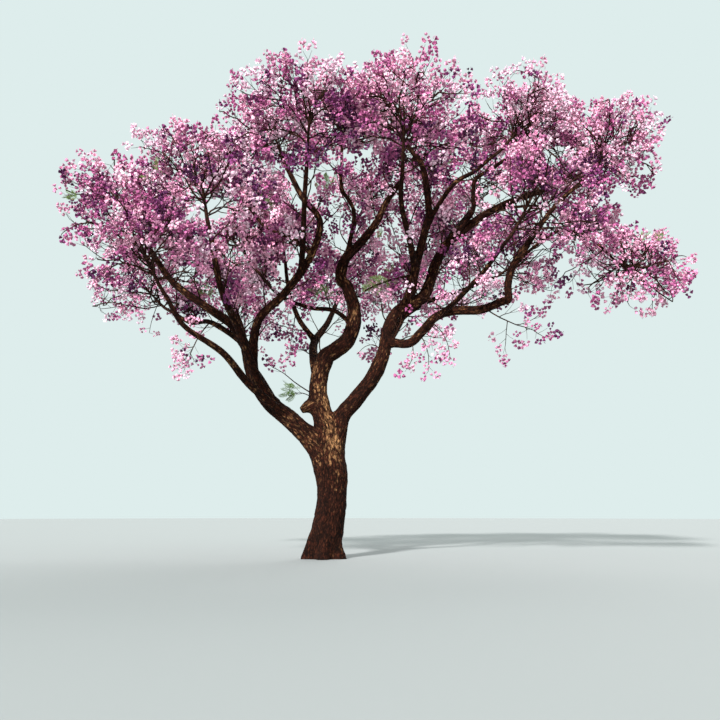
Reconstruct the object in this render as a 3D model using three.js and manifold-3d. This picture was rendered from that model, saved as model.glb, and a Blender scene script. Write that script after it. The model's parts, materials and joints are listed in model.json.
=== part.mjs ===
// A mature jacaranda in full bloom: a leaning trunk with a root flare, three main boughs that wind upwards,
// and a wide, open crown made of one mass of blossom at the tip of each bough.
// Millimetres, +Z up. The origin is the centre of the trunk's flat foot on the ground, +X runs to the right
// across the broad face of the crown, and +Y runs away from that face.
import * as THREE from "three";
import { mergeVertices } from "three/addons/utils/BufferGeometryUtils.js";
import Module from "manifold-3d";

const wasm = await Module();
wasm.setup();

// Driving sizes
const METRE = 1000;
const SEAM = 0.35; // between two solids that touch
const UP = new THREE.Vector3(0, 0, 1);

// The trunk and boughs
const RING_SPACING = 620; // between two rings of a limb
const FEWEST_STEPS = 3;
const COURSE_SPACING = 100; // between the points that a limb's distance is measured from
const TRUNK_SIDES = 16;
const BOUGH_SIDES = 8;
const THIN_SIDES = 6;
const THICK_BOUGH = 150; // a bough from this radius up gets BOUGH_SIDES
const FLARE_HEIGHT = 420; // over which the root flare fades out
const FLARE_FADE = 1.5; // how suddenly it does
const FLARE_SHARE = 0.24; // how far the flare stands out of the trunk's radius at the ground
const ROOT_LOBES = 5;
const LOBE_SHARE = 0.13; // how far the lobes of the flare stand out
const COLLAR_SHARE = 0.16; // how much a bough swells where it leaves its parent
const COLLAR_LENGTH = 300;
const RUN_ON = 160; // how far a limb that runs on from its parent's end keeps the parent's direction

// The masses of blossom
const FLATNESS = 0.8; // a mass's height over its width
const CENTRE_AHEAD = 0.62; // how far past its bough's tip a mass's centre lies, as a share of its reach
const CENTRE_LIFT = 0.12;
const KNEE = 0.22; // how far a mass's stem keeps its bough's direction, as a share of the mass's reach
const BRANCHES = 5;
const BRANCH_STARTS = [0.3, 0.84]; // where along the stem the first and the last branch leave it
const BRANCH_TURN = Math.PI * (3 - Math.sqrt(5)); // from one branch to the next, round the stem
const TURN_SPREAD = 0.6; // how far a branch may be turned on from there
const RISES = [-0.62, 0.97]; // from the lowest branch's direction to the highest's
const TIP_REACH = [0.88, 0.98]; // where the heads at the branches' tips end, as a share of the room there
const ROOMS = [1, 0.95, 0.9, 0.85, 0.8, 0.75, 0.7, 0.65, 0.6, 0.55, 0.5]; // tried, as shares of the reach
const BRANCH_RADII = [26, 16];
const HEADS_ALONG = [0.2, 0.5, 0.75]; // where a branch carries a head at its side
const SIDE_LEAN = 2.4; // how far a head at a branch's side leans out from it
const TWIG_SIDES = 3;
const HEAD_LENGTH = 950; // a head of blossom, which stands for several sprays
const HEAD_WIDTH = 760;
const HEAD_BELLY = 0.45; // where along its length a head is widest
const HEAD_MIDDLES = [0.25, 0.5, 0.75]; // where along its length a head is measured from
const HEAD_ROOT = 90; // how deep the head at a branch's tip is sunk into it
const HEAD_APART = 440; // between the middles of two heads
const MASS_GAP = 25; // from one mass's space to the next
const LIMB_GAP = 45; // from a mass to the trunk and boughs

// Each limb leaves its parent at a knot of the parent's route: 0 is where the parent starts, and 2.5 lies
// halfway between its third and fourth knots. A limb with no "at" runs on from its parent's end.
// The route and the radii are in metres, the radii spread evenly over the limb's length, and reach is the
// radius of the mass of blossom at its tip.
const TRUNK = {
  name: "trunk",
  start: [-0.02, 0, -0.35],
  route: [
    [0, 0, 0.1],
    [0.07, 0, 0.7],
    [0.21, 0, 1.4],
    [0.23, 0.01, 2.1],
    [0.18, 0.01, 2.75],
    [0.12, 0.02, 3.35],
    [0.1, 0.02, 3.85],
  ],
  radii: [0.5, 0.48, 0.465, 0.46, 0.455, 0.44, 0.38],
};
const BOUGHS = [
  // The left bough, which parts low from the trunk, and what it carries
  {
    name: "bough_left",
    parent: "trunk",
    at: 4.7,
    route: [
      [-0.35, -0.04, 3.5], [-0.98, -0.12, 4.15], [-1.7, -0.25, 4.75], [-2.2, -0.4, 5.5],
      [-2.45, -0.5, 6.35],
    ],
    radii: [0.34, 0.32, 0.27, 0.22, 0.17],
  },
  {
    name: "bough_left_outer",
    parent: "bough_left",
    route: [[-2.9, -0.65, 7.15], [-3.8, -0.9, 7.75], [-4.7, -1.2, 8.4], [-5.3, -1.45, 9.25]],
    radii: [0.17, 0.08],
    reach: 2.25,
  },
  {
    name: "bough_left_low",
    parent: "bough_left_outer",
    at: 1.2,
    route: [[-3.7, 0.1, 7.4], [-4.5, 0.75, 7.55], [-5.2, 1.15, 8]],
    radii: [0.1, 0.06],
    reach: 2.25,
  },
  {
    name: "bough_left_back",
    parent: "bough_left",
    at: 2.8,
    route: [[-2.1, 0.6, 5.55], [-2.7, 1.75, 6.5], [-3.1, 2.75, 7.8], [-3.6, 3.45, 9]],
    radii: [0.18, 0.07],
    reach: 2.25,
  },
  {
    name: "bough_left_front",
    parent: "bough_left",
    at: 3.6,
    route: [[-2.5, -1.5, 6.7], [-2.9, -2.75, 7.7], [-3.1, -3.7, 9.1]],
    radii: [0.15, 0.07],
    reach: 2.15,
  },
  {
    name: "bough_left_front_low",
    parent: "bough_left",
    at: 2.4,
    route: [[-2.2, -1.4, 5.15], [-2.8, -2.75, 5.85], [-3.7, -3.8, 6.4], [-4.1, -4.3, 7.1]],
    radii: [0.14, 0.06],
    reach: 2.05,
  },
  {
    name: "bough_left_top",
    parent: "bough_left",
    at: 4.2,
    route: [
      [-2.1, -0.7, 7.2], [-1.25, -0.9, 8.1], [-0.45, -1.15, 9.2], [-0.15, -1.25, 10.3],
      [-0.7, -1.25, 11.1], [-1.1, -1.2, 11.9],
    ],
    radii: [0.15, 0.13, 0.11, 0.08],
    reach: 2,
  },
  {
    name: "bough_top_left",
    parent: "bough_left_top",
    at: 3.1,
    route: [[-1.1, -0.6, 10.0], [-2.0, 0.0, 10.6], [-2.6, 0.3, 11.4]],
    radii: [0.08, 0.055],
    reach: 1.9,
  },
  // The upright bough, in three stretches between its bends
  {
    name: "bough_upright_lower",
    parent: "trunk",
    route: [
      [-0.04, 0.03, 4.3], [-0.19, 0.05, 4.75], [-0.23, 0.08, 5.2], [-0.16, 0.1, 5.75],
      [-0.02, 0.12, 6.15],
    ],
    radii: [0.38, 0.31, 0.275, 0.275],
  },
  {
    name: "bough_upright_middle",
    parent: "bough_upright_lower",
    route: [[0.32, 0.18, 6.5], [0.7, 0.26, 6.85], [0.9, 0.32, 7.4], [0.9, 0.38, 8.0], [0.72, 0.42, 8.55]],
    radii: [0.275, 0.255, 0.235, 0.2],
  },
  {
    name: "bough_upright_upper",
    parent: "bough_upright_middle",
    route: [
      [0.47, 0.45, 9.0], [0.62, 0.48, 9.65], [1.15, 0.52, 10.25], [1.65, 0.56, 10.95], [2.0, 0.6, 11.7],
      [2.4, 0.62, 12.3],
    ],
    radii: [0.2, 0.17, 0.14, 0.11, 0.09],
    reach: 1.85,
  },
  {
    name: "bough_side_left",
    parent: "bough_upright_middle",
    at: 3.9,
    route: [[0.25, 0.35, 7.85], [-0.6, 0.5, 8.0], [-1.6, 0.75, 8.5], [-2.3, 0.9, 9.3]],
    radii: [0.08, 0.05],
    reach: 1.9,
  },
  {
    name: "bough_back",
    parent: "bough_upright_lower",
    at: 4.2,
    route: [[-0.4, 1.05, 6.3], [-0.5, 2.4, 7.2], [-0.1, 3.7, 8.2], [0.2, 5, 9.3]],
    radii: [0.19, 0.08],
    reach: 2.35,
  },
  {
    name: "bough_back_left",
    parent: "bough_back",
    at: 2.1,
    route: [[-1.1, 2.9, 8.2], [-1.5, 3.25, 9.4], [-1.7, 3.6, 10.7]],
    radii: [0.1, 0.06],
    reach: 2.05,
  },
  {
    name: "bough_back_top",
    parent: "bough_upright_upper",
    at: 2.2,
    route: [[0.75, 1.5, 10.4], [0.8, 2.55, 11.3], [1.1, 3.25, 12.2]],
    radii: [0.1, 0.06],
    reach: 1.9,
  },
  {
    name: "bough_top",
    parent: "bough_upright_upper",
    at: 3.1,
    route: [[0.9, 0.1, 11.1], [0.5, -0.1, 11.9], [0.5, -0.2, 12.8]],
    radii: [0.08, 0.055],
    reach: 1.75,
  },
  // The right bough, which leans out over the street, and the limbs that it divides into
  {
    name: "bough_right",
    parent: "trunk",
    at: 5.1,
    route: [
      [0.38, -0.03, 3.75], [0.55, -0.07, 4.35], [0.98, -0.13, 4.88], [1.5, -0.2, 5.55],
      [1.84, -0.24, 6.3], [1.98, -0.2, 7.1], [2.25, -0.1, 7.65], [2.72, 0, 7.98],
    ],
    radii: [0.32, 0.31, 0.26, 0.24, 0.235, 0.2, 0.19, 0.2],
  },
  {
    name: "bough_right_outer",
    parent: "bough_right",
    route: [
      [3.15, 0.1, 8.25], [3.38, 0.25, 8.75], [3.6, 0.4, 9.45], [3.98, 0.55, 10.15], [4.55, 0.7, 10.7],
      [5.4, 0.8, 11.35], [6.3, 0.95, 11.85], [7.15, 1.1, 12.2],
    ],
    radii: [0.2, 0.17, 0.16, 0.14, 0.12, 0.1],
    reach: 2,
  },
  {
    name: "bough_right_inner",
    parent: "bough_right",
    at: 7.6,
    route: [[2.72, -0.3, 8.4], [2.84, -0.55, 8.9], [3.02, -0.85, 9.6], [3.22, -1.15, 10.35]],
    radii: [0.15, 0.14, 0.12],
  },
  {
    name: "bough_inner_left",
    parent: "bough_right_inner",
    route: [[3.24, -1.3, 10.8], [3.16, -1.55, 11.4], [3, -1.75, 12], [2.6, -1.9, 12.5]],
    radii: [0.12, 0.075],
    reach: 1.85,
  },
  {
    name: "bough_inner_right",
    parent: "bough_right_inner",
    at: 3.8,
    route: [[3.55, -1.45, 10.8], [4.05, -1.75, 11.4], [4.6, -2, 11.65], [5.1, -2.25, 12]],
    radii: [0.085, 0.055],
    reach: 1.9,
  },
  {
    name: "bough_right_hook",
    parent: "bough_right_outer",
    at: 5.1,
    route: [
      [4.85, 0.5, 11.25], [4.88, 0.3, 11.8], [4.95, 0.15, 12.3], [5.4, 0.0, 12.55], [5.85, -0.1, 12.85],
    ],
    radii: [0.085, 0.06],
    reach: 1.8,
  },
  {
    name: "bough_right_arch",
    parent: "bough_right_outer",
    at: 7.3,
    route: [[7.1, 1.3, 11.82], [7.6, 1.55, 11.75], [8.1, 1.75, 11.4]],
    radii: [0.06, 0.035],
    reach: 1.8,
  },
  {
    name: "bough_right_back",
    parent: "bough_right_outer",
    at: 4.1,
    route: [[4.3, 1.5, 10.9], [4.8, 2.4, 11.7], [5.2, 3.1, 12.4]],
    radii: [0.1, 0.06],
    reach: 1.9,
  },
  {
    name: "bough_low_right",
    parent: "bough_right",
    at: 5.5,
    route: [
      [2.6, -0.45, 6.6], [3.0, -0.6, 6.9], [3.45, -0.8, 7.35], [4, -1.05, 7.5], [4.8, -1.3, 7.48],
      [5.45, -1.5, 7.7],
    ],
    radii: [0.15, 0.14, 0.14, 0.125],
  },
  {
    name: "bough_low_right_outer",
    parent: "bough_low_right",
    route: [
      [5.6, -1.55, 8.2], [5.75, -1.6, 8.75], [6.15, -1.75, 9.35], [6.6, -1.9, 10], [7.1, -2.1, 10.6],
      [7.6, -2.2, 11.05],
    ],
    radii: [0.125, 0.115, 0.1, 0.07, 0.06],
    reach: 2.05,
  },
  {
    name: "bough_low_right_arch",
    parent: "bough_low_right_outer",
    at: 3.2,
    route: [[6.8, -2.2, 9.55], [7.4, -2.4, 9.6], [7.95, -2.65, 9.2], [8.3, -2.75, 8.8]],
    radii: [0.05, 0.035],
    reach: 1.8,
  },
  {
    name: "bough_low_front",
    parent: "bough_low_right",
    at: 3.3,
    route: [[4, -2.1, 7.6], [4.6, -3.25, 8.1], [5.1, -4.05, 8.7]],
    radii: [0.09, 0.055],
    reach: 2.05,
  },
  {
    name: "bough_back_right",
    parent: "bough_right",
    at: 4.6,
    route: [[1.95, 0.6, 6.7], [2.4, 1.95, 7.7], [2.9, 3.25, 8.9], [3.4, 4.3, 10.1]],
    radii: [0.17, 0.07],
    reach: 2.25,
  },
  {
    name: "bough_back_outer",
    parent: "bough_back_right",
    at: 2.4,
    route: [[3.5, 2.9, 8.8], [4.7, 3.35, 9.3], [5.9, 3.8, 9.9]],
    radii: [0.1, 0.06],
    reach: 2.25,
  },
  {
    name: "bough_front",
    parent: "bough_right_inner",
    at: 2.1,
    route: [[2.6, -1.75, 9.6], [2.3, -3, 10.3], [2.3, -3.95, 11]],
    radii: [0.11, 0.06],
    reach: 2.15,
  },
  {
    name: "bough_front_left",
    parent: "bough_left_top",
    at: 2.6,
    route: [[-0.6, -2.2, 9.5], [-0.5, -3.25, 10.2], [-0.4, -3.95, 11]],
    radii: [0.1, 0.06],
    reach: 2.05,
  },
];

// Random numbers from 0 to 1 that are the same on every run
function seeded(seed) {
  let state = seed;
  return () => {
    state = (state + 0x6d2b79f5) >>> 0;
    let mixed = Math.imul(state ^ (state >>> 15), state | 1);
    mixed ^= mixed + Math.imul(mixed ^ (mixed >>> 7), mixed | 61);
    return ((mixed ^ (mixed >>> 14)) >>> 0) / 4294967296;
  };
}

// A value read off an evenly spread list of values, at a share from 0 to 1
function spread(values, share) {
  const place = share * (values.length - 1);
  const before = Math.min(Math.floor(place), values.length - 2);
  return THREE.MathUtils.lerp(values[before], values[before + 1], place - before);
}

// A closed tube along a curve. radiusAt gives its radius at a share of its length and an angle round it,
// and grow moves the whole skin outwards, the flat ends included.
function tube(curve, radiusAt, sides, steps, grow = 0) {
  const frames = curve.computeFrenetFrames(steps, false);
  const skin = new THREE.CylinderGeometry(1, 1, 1, sides, steps);
  const places = skin.getAttribute("position");
  const wider = grow / Math.cos(Math.PI / sides);
  for (let i = 0; i < places.count; i++) {
    const ring = Math.round((places.getY(i) + 0.5) * steps);
    const [x, z] = [places.getX(i), places.getZ(i)];
    const radius = radiusAt(ring / steps, Math.atan2(z, x)) + wider;
    const point = curve.getPointAt(ring / steps);
    point.addScaledVector(frames.normals[ring], x * radius);
    point.addScaledVector(frames.binormals[ring], -z * radius);
    if (ring === 0) point.addScaledVector(frames.tangents[0], -grow);
    if (ring === steps) point.addScaledVector(frames.tangents[steps], grow);
    places.setXYZ(i, point.x, point.y, point.z);
  }
  return solid(skin);
}

// A three.js geometry as a solid that can be joined and cut
function solid(geometry) {
  const bare = geometry.clone();
  bare.deleteAttribute("normal");
  bare.deleteAttribute("uv");
  const merged = mergeVertices(bare, 1e-3);
  const triVerts = new Uint32Array(merged.index.array);
  return new wasm.Manifold(
    new wasm.Mesh({ numProp: 3, vertProperties: merged.attributes.position.array, triVerts }),
  );
}

// The largest body of a solid, with no sealed hollow in it
function largest(made) {
  return made.decompose().reduce((a, b) => (b.volume() > a.volume() ? b : a));
}

// A solid as a named mesh
function piece(name, made, material) {
  const mesh = made.getMesh();
  const geometry = new THREE.BufferGeometry();
  geometry.setAttribute("position", new THREE.BufferAttribute(mesh.vertProperties, 3));
  geometry.setIndex(new THREE.BufferAttribute(mesh.triVerts, 1));
  geometry.computeVertexNormals();
  const shown = new THREE.Mesh(geometry, material);
  shown.name = name;
  return shown;
}

// The centre line, radii and solid of the trunk or a bough. Limbs are made parent first.
class Limb {
  constructor(plan, parent) {
    this.plan = plan;
    this.parent = parent;
    this.runsOn = parent !== null && plan.at === undefined;
    const route = plan.route.map((knot) => new THREE.Vector3(...knot).multiplyScalar(METRE));
    this.curve = new THREE.CatmullRomCurve3([...this.startPoints(), ...route], false, "catmullrom");
    this.length = this.curve.getLength();
    this.radii = plan.radii.map((radius) => radius * METRE);
    this.steps = Math.max(FEWEST_STEPS, Math.round(this.length / RING_SPACING));
    this.tip = this.curve.getPointAt(1);
    this.heading = this.curve.getTangentAt(1);
  }

  // A limb that runs on leaves its parent's end in the parent's own direction, so that the two ends face
  startPoints() {
    const { parent, plan } = this;
    if (parent === null) return [new THREE.Vector3(...plan.start).multiplyScalar(METRE)];
    if (!this.runsOn) return [parent.curve.getPoint(plan.at / (parent.curve.points.length - 1))];
    return [1.1 * SEAM, RUN_ON].map((ahead) => parent.tip.clone().addScaledVector(parent.heading, ahead));
  }

  // How many times the way from the trunk's foot to this limb turns off into a side limb
  get order() {
    if (this.parent === null) return 0;
    return this.parent.order + (this.runsOn ? 0 : 1);
  }

  get sides() {
    if (this.parent === null) return TRUNK_SIDES;
    return this.radii[0] >= THICK_BOUGH ? BOUGH_SIDES : THIN_SIDES;
  }

  radiusAt(share, angle) {
    const along = share * this.length;
    const radius = spread(this.radii, share);
    if (this.parent !== null) {
      const collar = this.runsOn ? 0 : COLLAR_SHARE * Math.exp(-((along / COLLAR_LENGTH) ** 2));
      return radius * (1 + collar);
    }
    const height = Math.max(0, this.curve.getPointAt(share).z);
    const fade = Math.exp(-((height / FLARE_HEIGHT) ** FLARE_FADE));
    const lobe = Math.cos(ROOT_LOBES * angle);
    return radius * (1 + fade * (FLARE_SHARE + LOBE_SHARE * lobe));
  }

  tube(grow = 0) {
    return tube(this.curve, (share, angle) => this.radiusAt(share, angle), this.sides, this.steps, grow);
  }

  // The limb's own solid, cut clear of the space that other limbs have taken
  body(taken) {
    return largest(this.tube().trimByPlane([0, 0, 1], 0).subtract(taken));
  }

  // The centre line as points close enough together to measure from
  course() {
    const steps = Math.ceil(this.length / COURSE_SPACING);
    return this.curve.getSpacedPoints(steps).map((at, i) => ({ at, girth: this.radiusAt(i / steps, 0) }));
  }
}

// The space of a mass of blossom, and the twigs and heads that grow in it
class Mass {
  constructor(limb, seed) {
    this.name = limb.plan.name.replace("bough", "blossom");
    this.reach = limb.plan.reach * METRE;
    this.random = seeded(seed);
    this.centre = limb.tip
      .clone()
      .addScaledVector(limb.heading, CENTRE_AHEAD * this.reach)
      .addScaledVector(UP, CENTRE_LIFT * this.reach);
    const foot = limb.tip.clone().addScaledVector(limb.heading, SEAM);
    const knee = limb.tip.clone().addScaledVector(limb.heading, KNEE * this.reach);
    this.stem = new THREE.CatmullRomCurve3([foot, knee, this.centre], false, "catmullrom");
    this.stemRadii = [limb.radii.at(-1), BRANCH_RADII[0]];
    const steps = Math.ceil(this.stem.getLength() / COURSE_SPACING);
    this.stemCourse = this.stem.getSpacedPoints(steps).map((at) => ({ at, girth: this.stemRadii[0] }));
  }

  // True if a point lies in this mass's round space, and nearer to its centre than to any other mass's
  holds(point, masses) {
    const out = point.clone().sub(this.centre);
    if (Math.hypot(out.x, out.y, out.z / FLATNESS) > this.reach) return false;
    return masses.every((other) => {
      if (other === this) return true;
      const apart = other.centre.distanceTo(this.centre);
      const nearer = other.centre.distanceToSquared(point) - out.lengthSq();
      const weight = this.reach ** 2 - other.reach ** 2;
      return (nearer + weight) / (2 * apart) > MASS_GAP;
    });
  }

  // How far the mass's space goes from its centre in a direction, or 0 where there is too little room
  room(way, masses) {
    const { centre, reach } = this;
    const inside = (share) => this.holds(centre.clone().addScaledVector(way, share * reach), masses);
    return (ROOMS.find(inside) ?? 0) * reach;
  }

  // Branches from along the stem towards tips that are spread evenly round the centre
  branches(masses) {
    const { centre, random, stem } = this;
    const made = [];
    for (let i = 0; i < BRANCHES; i++) {
      const turn = i * BRANCH_TURN + random() * TURN_SPREAD;
      const tipShare = THREE.MathUtils.lerp(...TIP_REACH, random());
      const rise = THREE.MathUtils.lerp(...RISES, (i + 0.5) / BRANCHES);
      const flat = Math.sqrt(1 - rise ** 2);
      const way = new THREE.Vector3(Math.cos(turn) * flat, Math.sin(turn) * flat, rise * FLATNESS);
      const room = this.room(way, masses);
      const end = centre.clone().addScaledVector(way, tipShare * room);
      end.addScaledVector(way.normalize(), HEAD_ROOT - HEAD_LENGTH);
      const start = stem.getPointAt(THREE.MathUtils.lerp(...BRANCH_STARTS, i / (BRANCHES - 1)));
      made.push({ curve: new THREE.LineCurve3(start, end), grows: room > 0 });
    }
    return made;
  }

  // The heads of one branch: one at its tip, and one at its side at each place along it
  heads(curve) {
    const side = this.random() * Math.PI;
    const made = [new Head(curve.getPointAt(1), curve.getTangentAt(1), HEAD_ROOT)];
    HEADS_ALONG.forEach((share, i) => {
      const along = curve.getTangentAt(share);
      const across = along.clone().cross(UP).normalize();
      across.applyAxisAngle(along, side + i * Math.PI + this.random());
      const way = across.multiplyScalar(SIDE_LEAN).add(along).normalize();
      made.push(new Head(curve.getPointAt(share), way, 0));
    });
    return made;
  }

  // A branch or a head that leaves the mass's space or meets a limb is left out
  body(masses, limbs) {
    const others = masses.filter((mass) => mass !== this).map((mass) => mass.stemCourse);
    const wood = [...limbs.map((limb) => limb.course()), ...others].flat();
    const clear = (point, radius) =>
      wood.every(({ at, girth }) => at.distanceTo(point) > girth + radius + LIMB_GAP);
    const parts = [tube(this.stem, (share) => spread(this.stemRadii, share), TWIG_SIDES, 3)];
    const grown = [];
    for (const { curve, grows } of this.branches(masses)) {
      const heads = this.heads(curve);
      const course = curve.getPoints(8);
      const free = course.every((point) => this.holds(point, masses) && clear(point, BRANCH_RADII[0]));
      if (!grows || !free) continue;
      parts.push(tube(curve, (share) => spread(BRANCH_RADII, share), TWIG_SIDES, 1));
      for (const head of heads) {
        const inside = head.corners.every((corner) => this.holds(corner, masses));
        const open = head.middles.every((point) => clear(point, HEAD_WIDTH / 2));
        if (!inside || !open || grown.some((other) => other.crowds(head))) continue;
        grown.push(head);
        parts.push(head.body());
      }
    }
    return largest(wasm.Manifold.union(parts));
  }
}

// A head of blossom: eight faces that swell from a point sunk in the twig and taper to a tip
class Head {
  constructor(point, way, root) {
    this.base = point.clone().addScaledVector(way, -root);
    this.turn = new THREE.Quaternion().setFromUnitVectors(UP, way);
    const place = (out, up) =>
      new THREE.Vector3(out.x, out.y, up).applyQuaternion(this.turn).add(this.base);
    const square = [0, 1, 2, 3].map((corner) =>
      new THREE.Vector2(HEAD_WIDTH / 2, 0).rotateAround(new THREE.Vector2(), (corner * Math.PI) / 2),
    );
    const axis = new THREE.Vector2();
    this.middles = HEAD_MIDDLES.map((share) => place(axis, share * HEAD_LENGTH));
    this.corners = [place(axis, 0), place(axis, HEAD_LENGTH)];
    this.corners.push(...square.map((corner) => place(corner, HEAD_BELLY * HEAD_LENGTH)));
  }

  crowds(other) {
    return this.middles.some((here) => other.middles.some((there) => here.distanceTo(there) < HEAD_APART));
  }

  body() {
    const outline = [[0, 0], [HEAD_WIDTH / 2, HEAD_BELLY * HEAD_LENGTH], [0, HEAD_LENGTH]];
    const shape = new THREE.LatheGeometry(outline.map((corner) => new THREE.Vector2(...corner)), 4);
    shape.rotateX(Math.PI / 2);
    shape.applyQuaternion(this.turn);
    shape.translate(...this.base);
    return solid(shape);
  }
}

const bark = new THREE.MeshStandardMaterial({ color: "#4a342a", roughness: 0.92, metalness: 0 });
const blossom = new THREE.MeshStandardMaterial({ color: "#a562b4", roughness: 0.7, metalness: 0 });

const limbs = new Map([[TRUNK.name, new Limb(TRUNK, null)]]);
for (const plan of BOUGHS) limbs.set(plan.name, new Limb(plan, limbs.get(plan.parent)));
// Main limbs are made before side limbs, which are cut clear of them
const ordered = [...limbs.values()].sort((a, b) => a.order - b.order);
const masses = ordered.filter((limb) => limb.plan.reach).map((limb, i) => new Mass(limb, i + 1));

const tree = new THREE.Group();
let taken = wasm.Manifold.union([]);
for (const limb of ordered) {
  tree.add(piece(limb.plan.name, limb.body(taken), bark));
  taken = taken.add(limb.tube(SEAM));
}
for (const mass of masses) tree.add(piece(mass.name, mass.body(masses, ordered), blossom));

export default tree;
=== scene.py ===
"""A mature jacaranda in full bloom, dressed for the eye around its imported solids.

Metres, +Z up. The origin is the centre of the trunk's flat foot on the ground, +X runs to the right across
the broad face of the crown, and +Y runs away from that face.
"""

import json
import logging
import math
from dataclasses import dataclass, replace
from enum import Enum
from functools import partial

import bmesh
import bpy
import numpy as np
from mathutils import Matrix, Vector, noise
from mathutils.kdtree import KDTree

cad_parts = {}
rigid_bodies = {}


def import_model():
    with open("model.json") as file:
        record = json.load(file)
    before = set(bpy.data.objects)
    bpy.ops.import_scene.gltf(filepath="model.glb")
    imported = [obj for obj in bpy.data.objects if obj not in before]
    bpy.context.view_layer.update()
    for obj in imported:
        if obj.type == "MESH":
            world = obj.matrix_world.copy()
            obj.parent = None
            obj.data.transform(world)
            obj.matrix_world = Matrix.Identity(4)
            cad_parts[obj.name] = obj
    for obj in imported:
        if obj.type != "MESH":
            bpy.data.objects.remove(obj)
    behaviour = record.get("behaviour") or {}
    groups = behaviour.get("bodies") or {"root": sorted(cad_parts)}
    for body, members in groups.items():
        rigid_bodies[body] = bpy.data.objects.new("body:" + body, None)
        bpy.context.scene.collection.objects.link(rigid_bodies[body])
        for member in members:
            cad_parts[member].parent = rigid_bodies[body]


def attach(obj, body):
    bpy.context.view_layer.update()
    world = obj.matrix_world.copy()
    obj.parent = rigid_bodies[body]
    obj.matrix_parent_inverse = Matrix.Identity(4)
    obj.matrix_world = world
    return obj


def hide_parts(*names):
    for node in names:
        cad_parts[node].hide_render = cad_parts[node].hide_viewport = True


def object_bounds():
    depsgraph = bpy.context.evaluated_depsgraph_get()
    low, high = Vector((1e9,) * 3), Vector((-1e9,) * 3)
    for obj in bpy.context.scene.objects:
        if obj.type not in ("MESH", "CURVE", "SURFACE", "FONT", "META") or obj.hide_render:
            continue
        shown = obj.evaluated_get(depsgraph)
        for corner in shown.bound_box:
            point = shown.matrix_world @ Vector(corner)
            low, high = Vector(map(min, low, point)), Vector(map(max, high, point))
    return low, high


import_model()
CAD_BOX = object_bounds()
BOX_MARGIN = 0.2  # how far a spray's middle may stand outside the solids' box

log = logging.getLogger("jacaranda")

Array = np.ndarray
Point = tuple[float, float, float]
Span = tuple[float, float]
Shape = tuple[Array, list[Array]]  # corners, and faces in arrays that each have their own number of corners
Feed = float | tuple | bpy.types.NodeSocket

MM = 0.001
UP = np.array((0.0, 0.0, 1.0))
FULL_TURN = 2 * math.pi
GOLDEN_TURN = math.pi * (3 - math.sqrt(5))
NOISE_FALLOFF, NOISE_SCALING = 1.0, 2.0  # from one octave of a fractal noise to the next

# The trunk and boughs, as the solids have them
SEAM = 0.35 * MM
RUN_ON = 0.16
FLARE_HEIGHT = 0.42
FLARE_FADE = 1.5
FLARE_SHARE = 0.24
ROOT_LOBES = 5
LOBE_SHARE = 0.13
COLLAR_SHARE = 0.16
COLLAR_LENGTH = 0.3

# The spaces of the masses and their branches, as the solids have them
FLATNESS = 0.8
CENTRE_AHEAD = 0.62
CENTRE_LIFT = 0.12
KNEE = 0.22
BRANCHES = 5
BRANCH_STARTS = (0.3, 0.84)
TURN_SPREAD = 0.6
RISES = (-0.62, 0.97)
TIP_REACH = (0.88, 0.98)
ROOMS = (1, 0.95, 0.9, 0.85, 0.8, 0.75, 0.7, 0.65, 0.6, 0.55, 0.5)
BRANCH_RADII = (0.026, 0.016)

# The photograph's eye, whose lines of sight place what it shows
EYE = (1.1, -25.5, 1.47)


@dataclass(frozen=True)
class LimbPlan:
    """One limb: where it leaves its parent, its route, its radii and the reach of the mass at its tip.

    It leaves its parent at a knot of the parent's route, where 2.5 lies halfway between the third and the
    fourth knot. A limb with no such knot runs on from its parent's end.
    """

    name: str
    parent: str | None
    at: float | None
    route: tuple[Point, ...]
    radii: tuple[float, ...]
    reach: float | None = None


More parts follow.
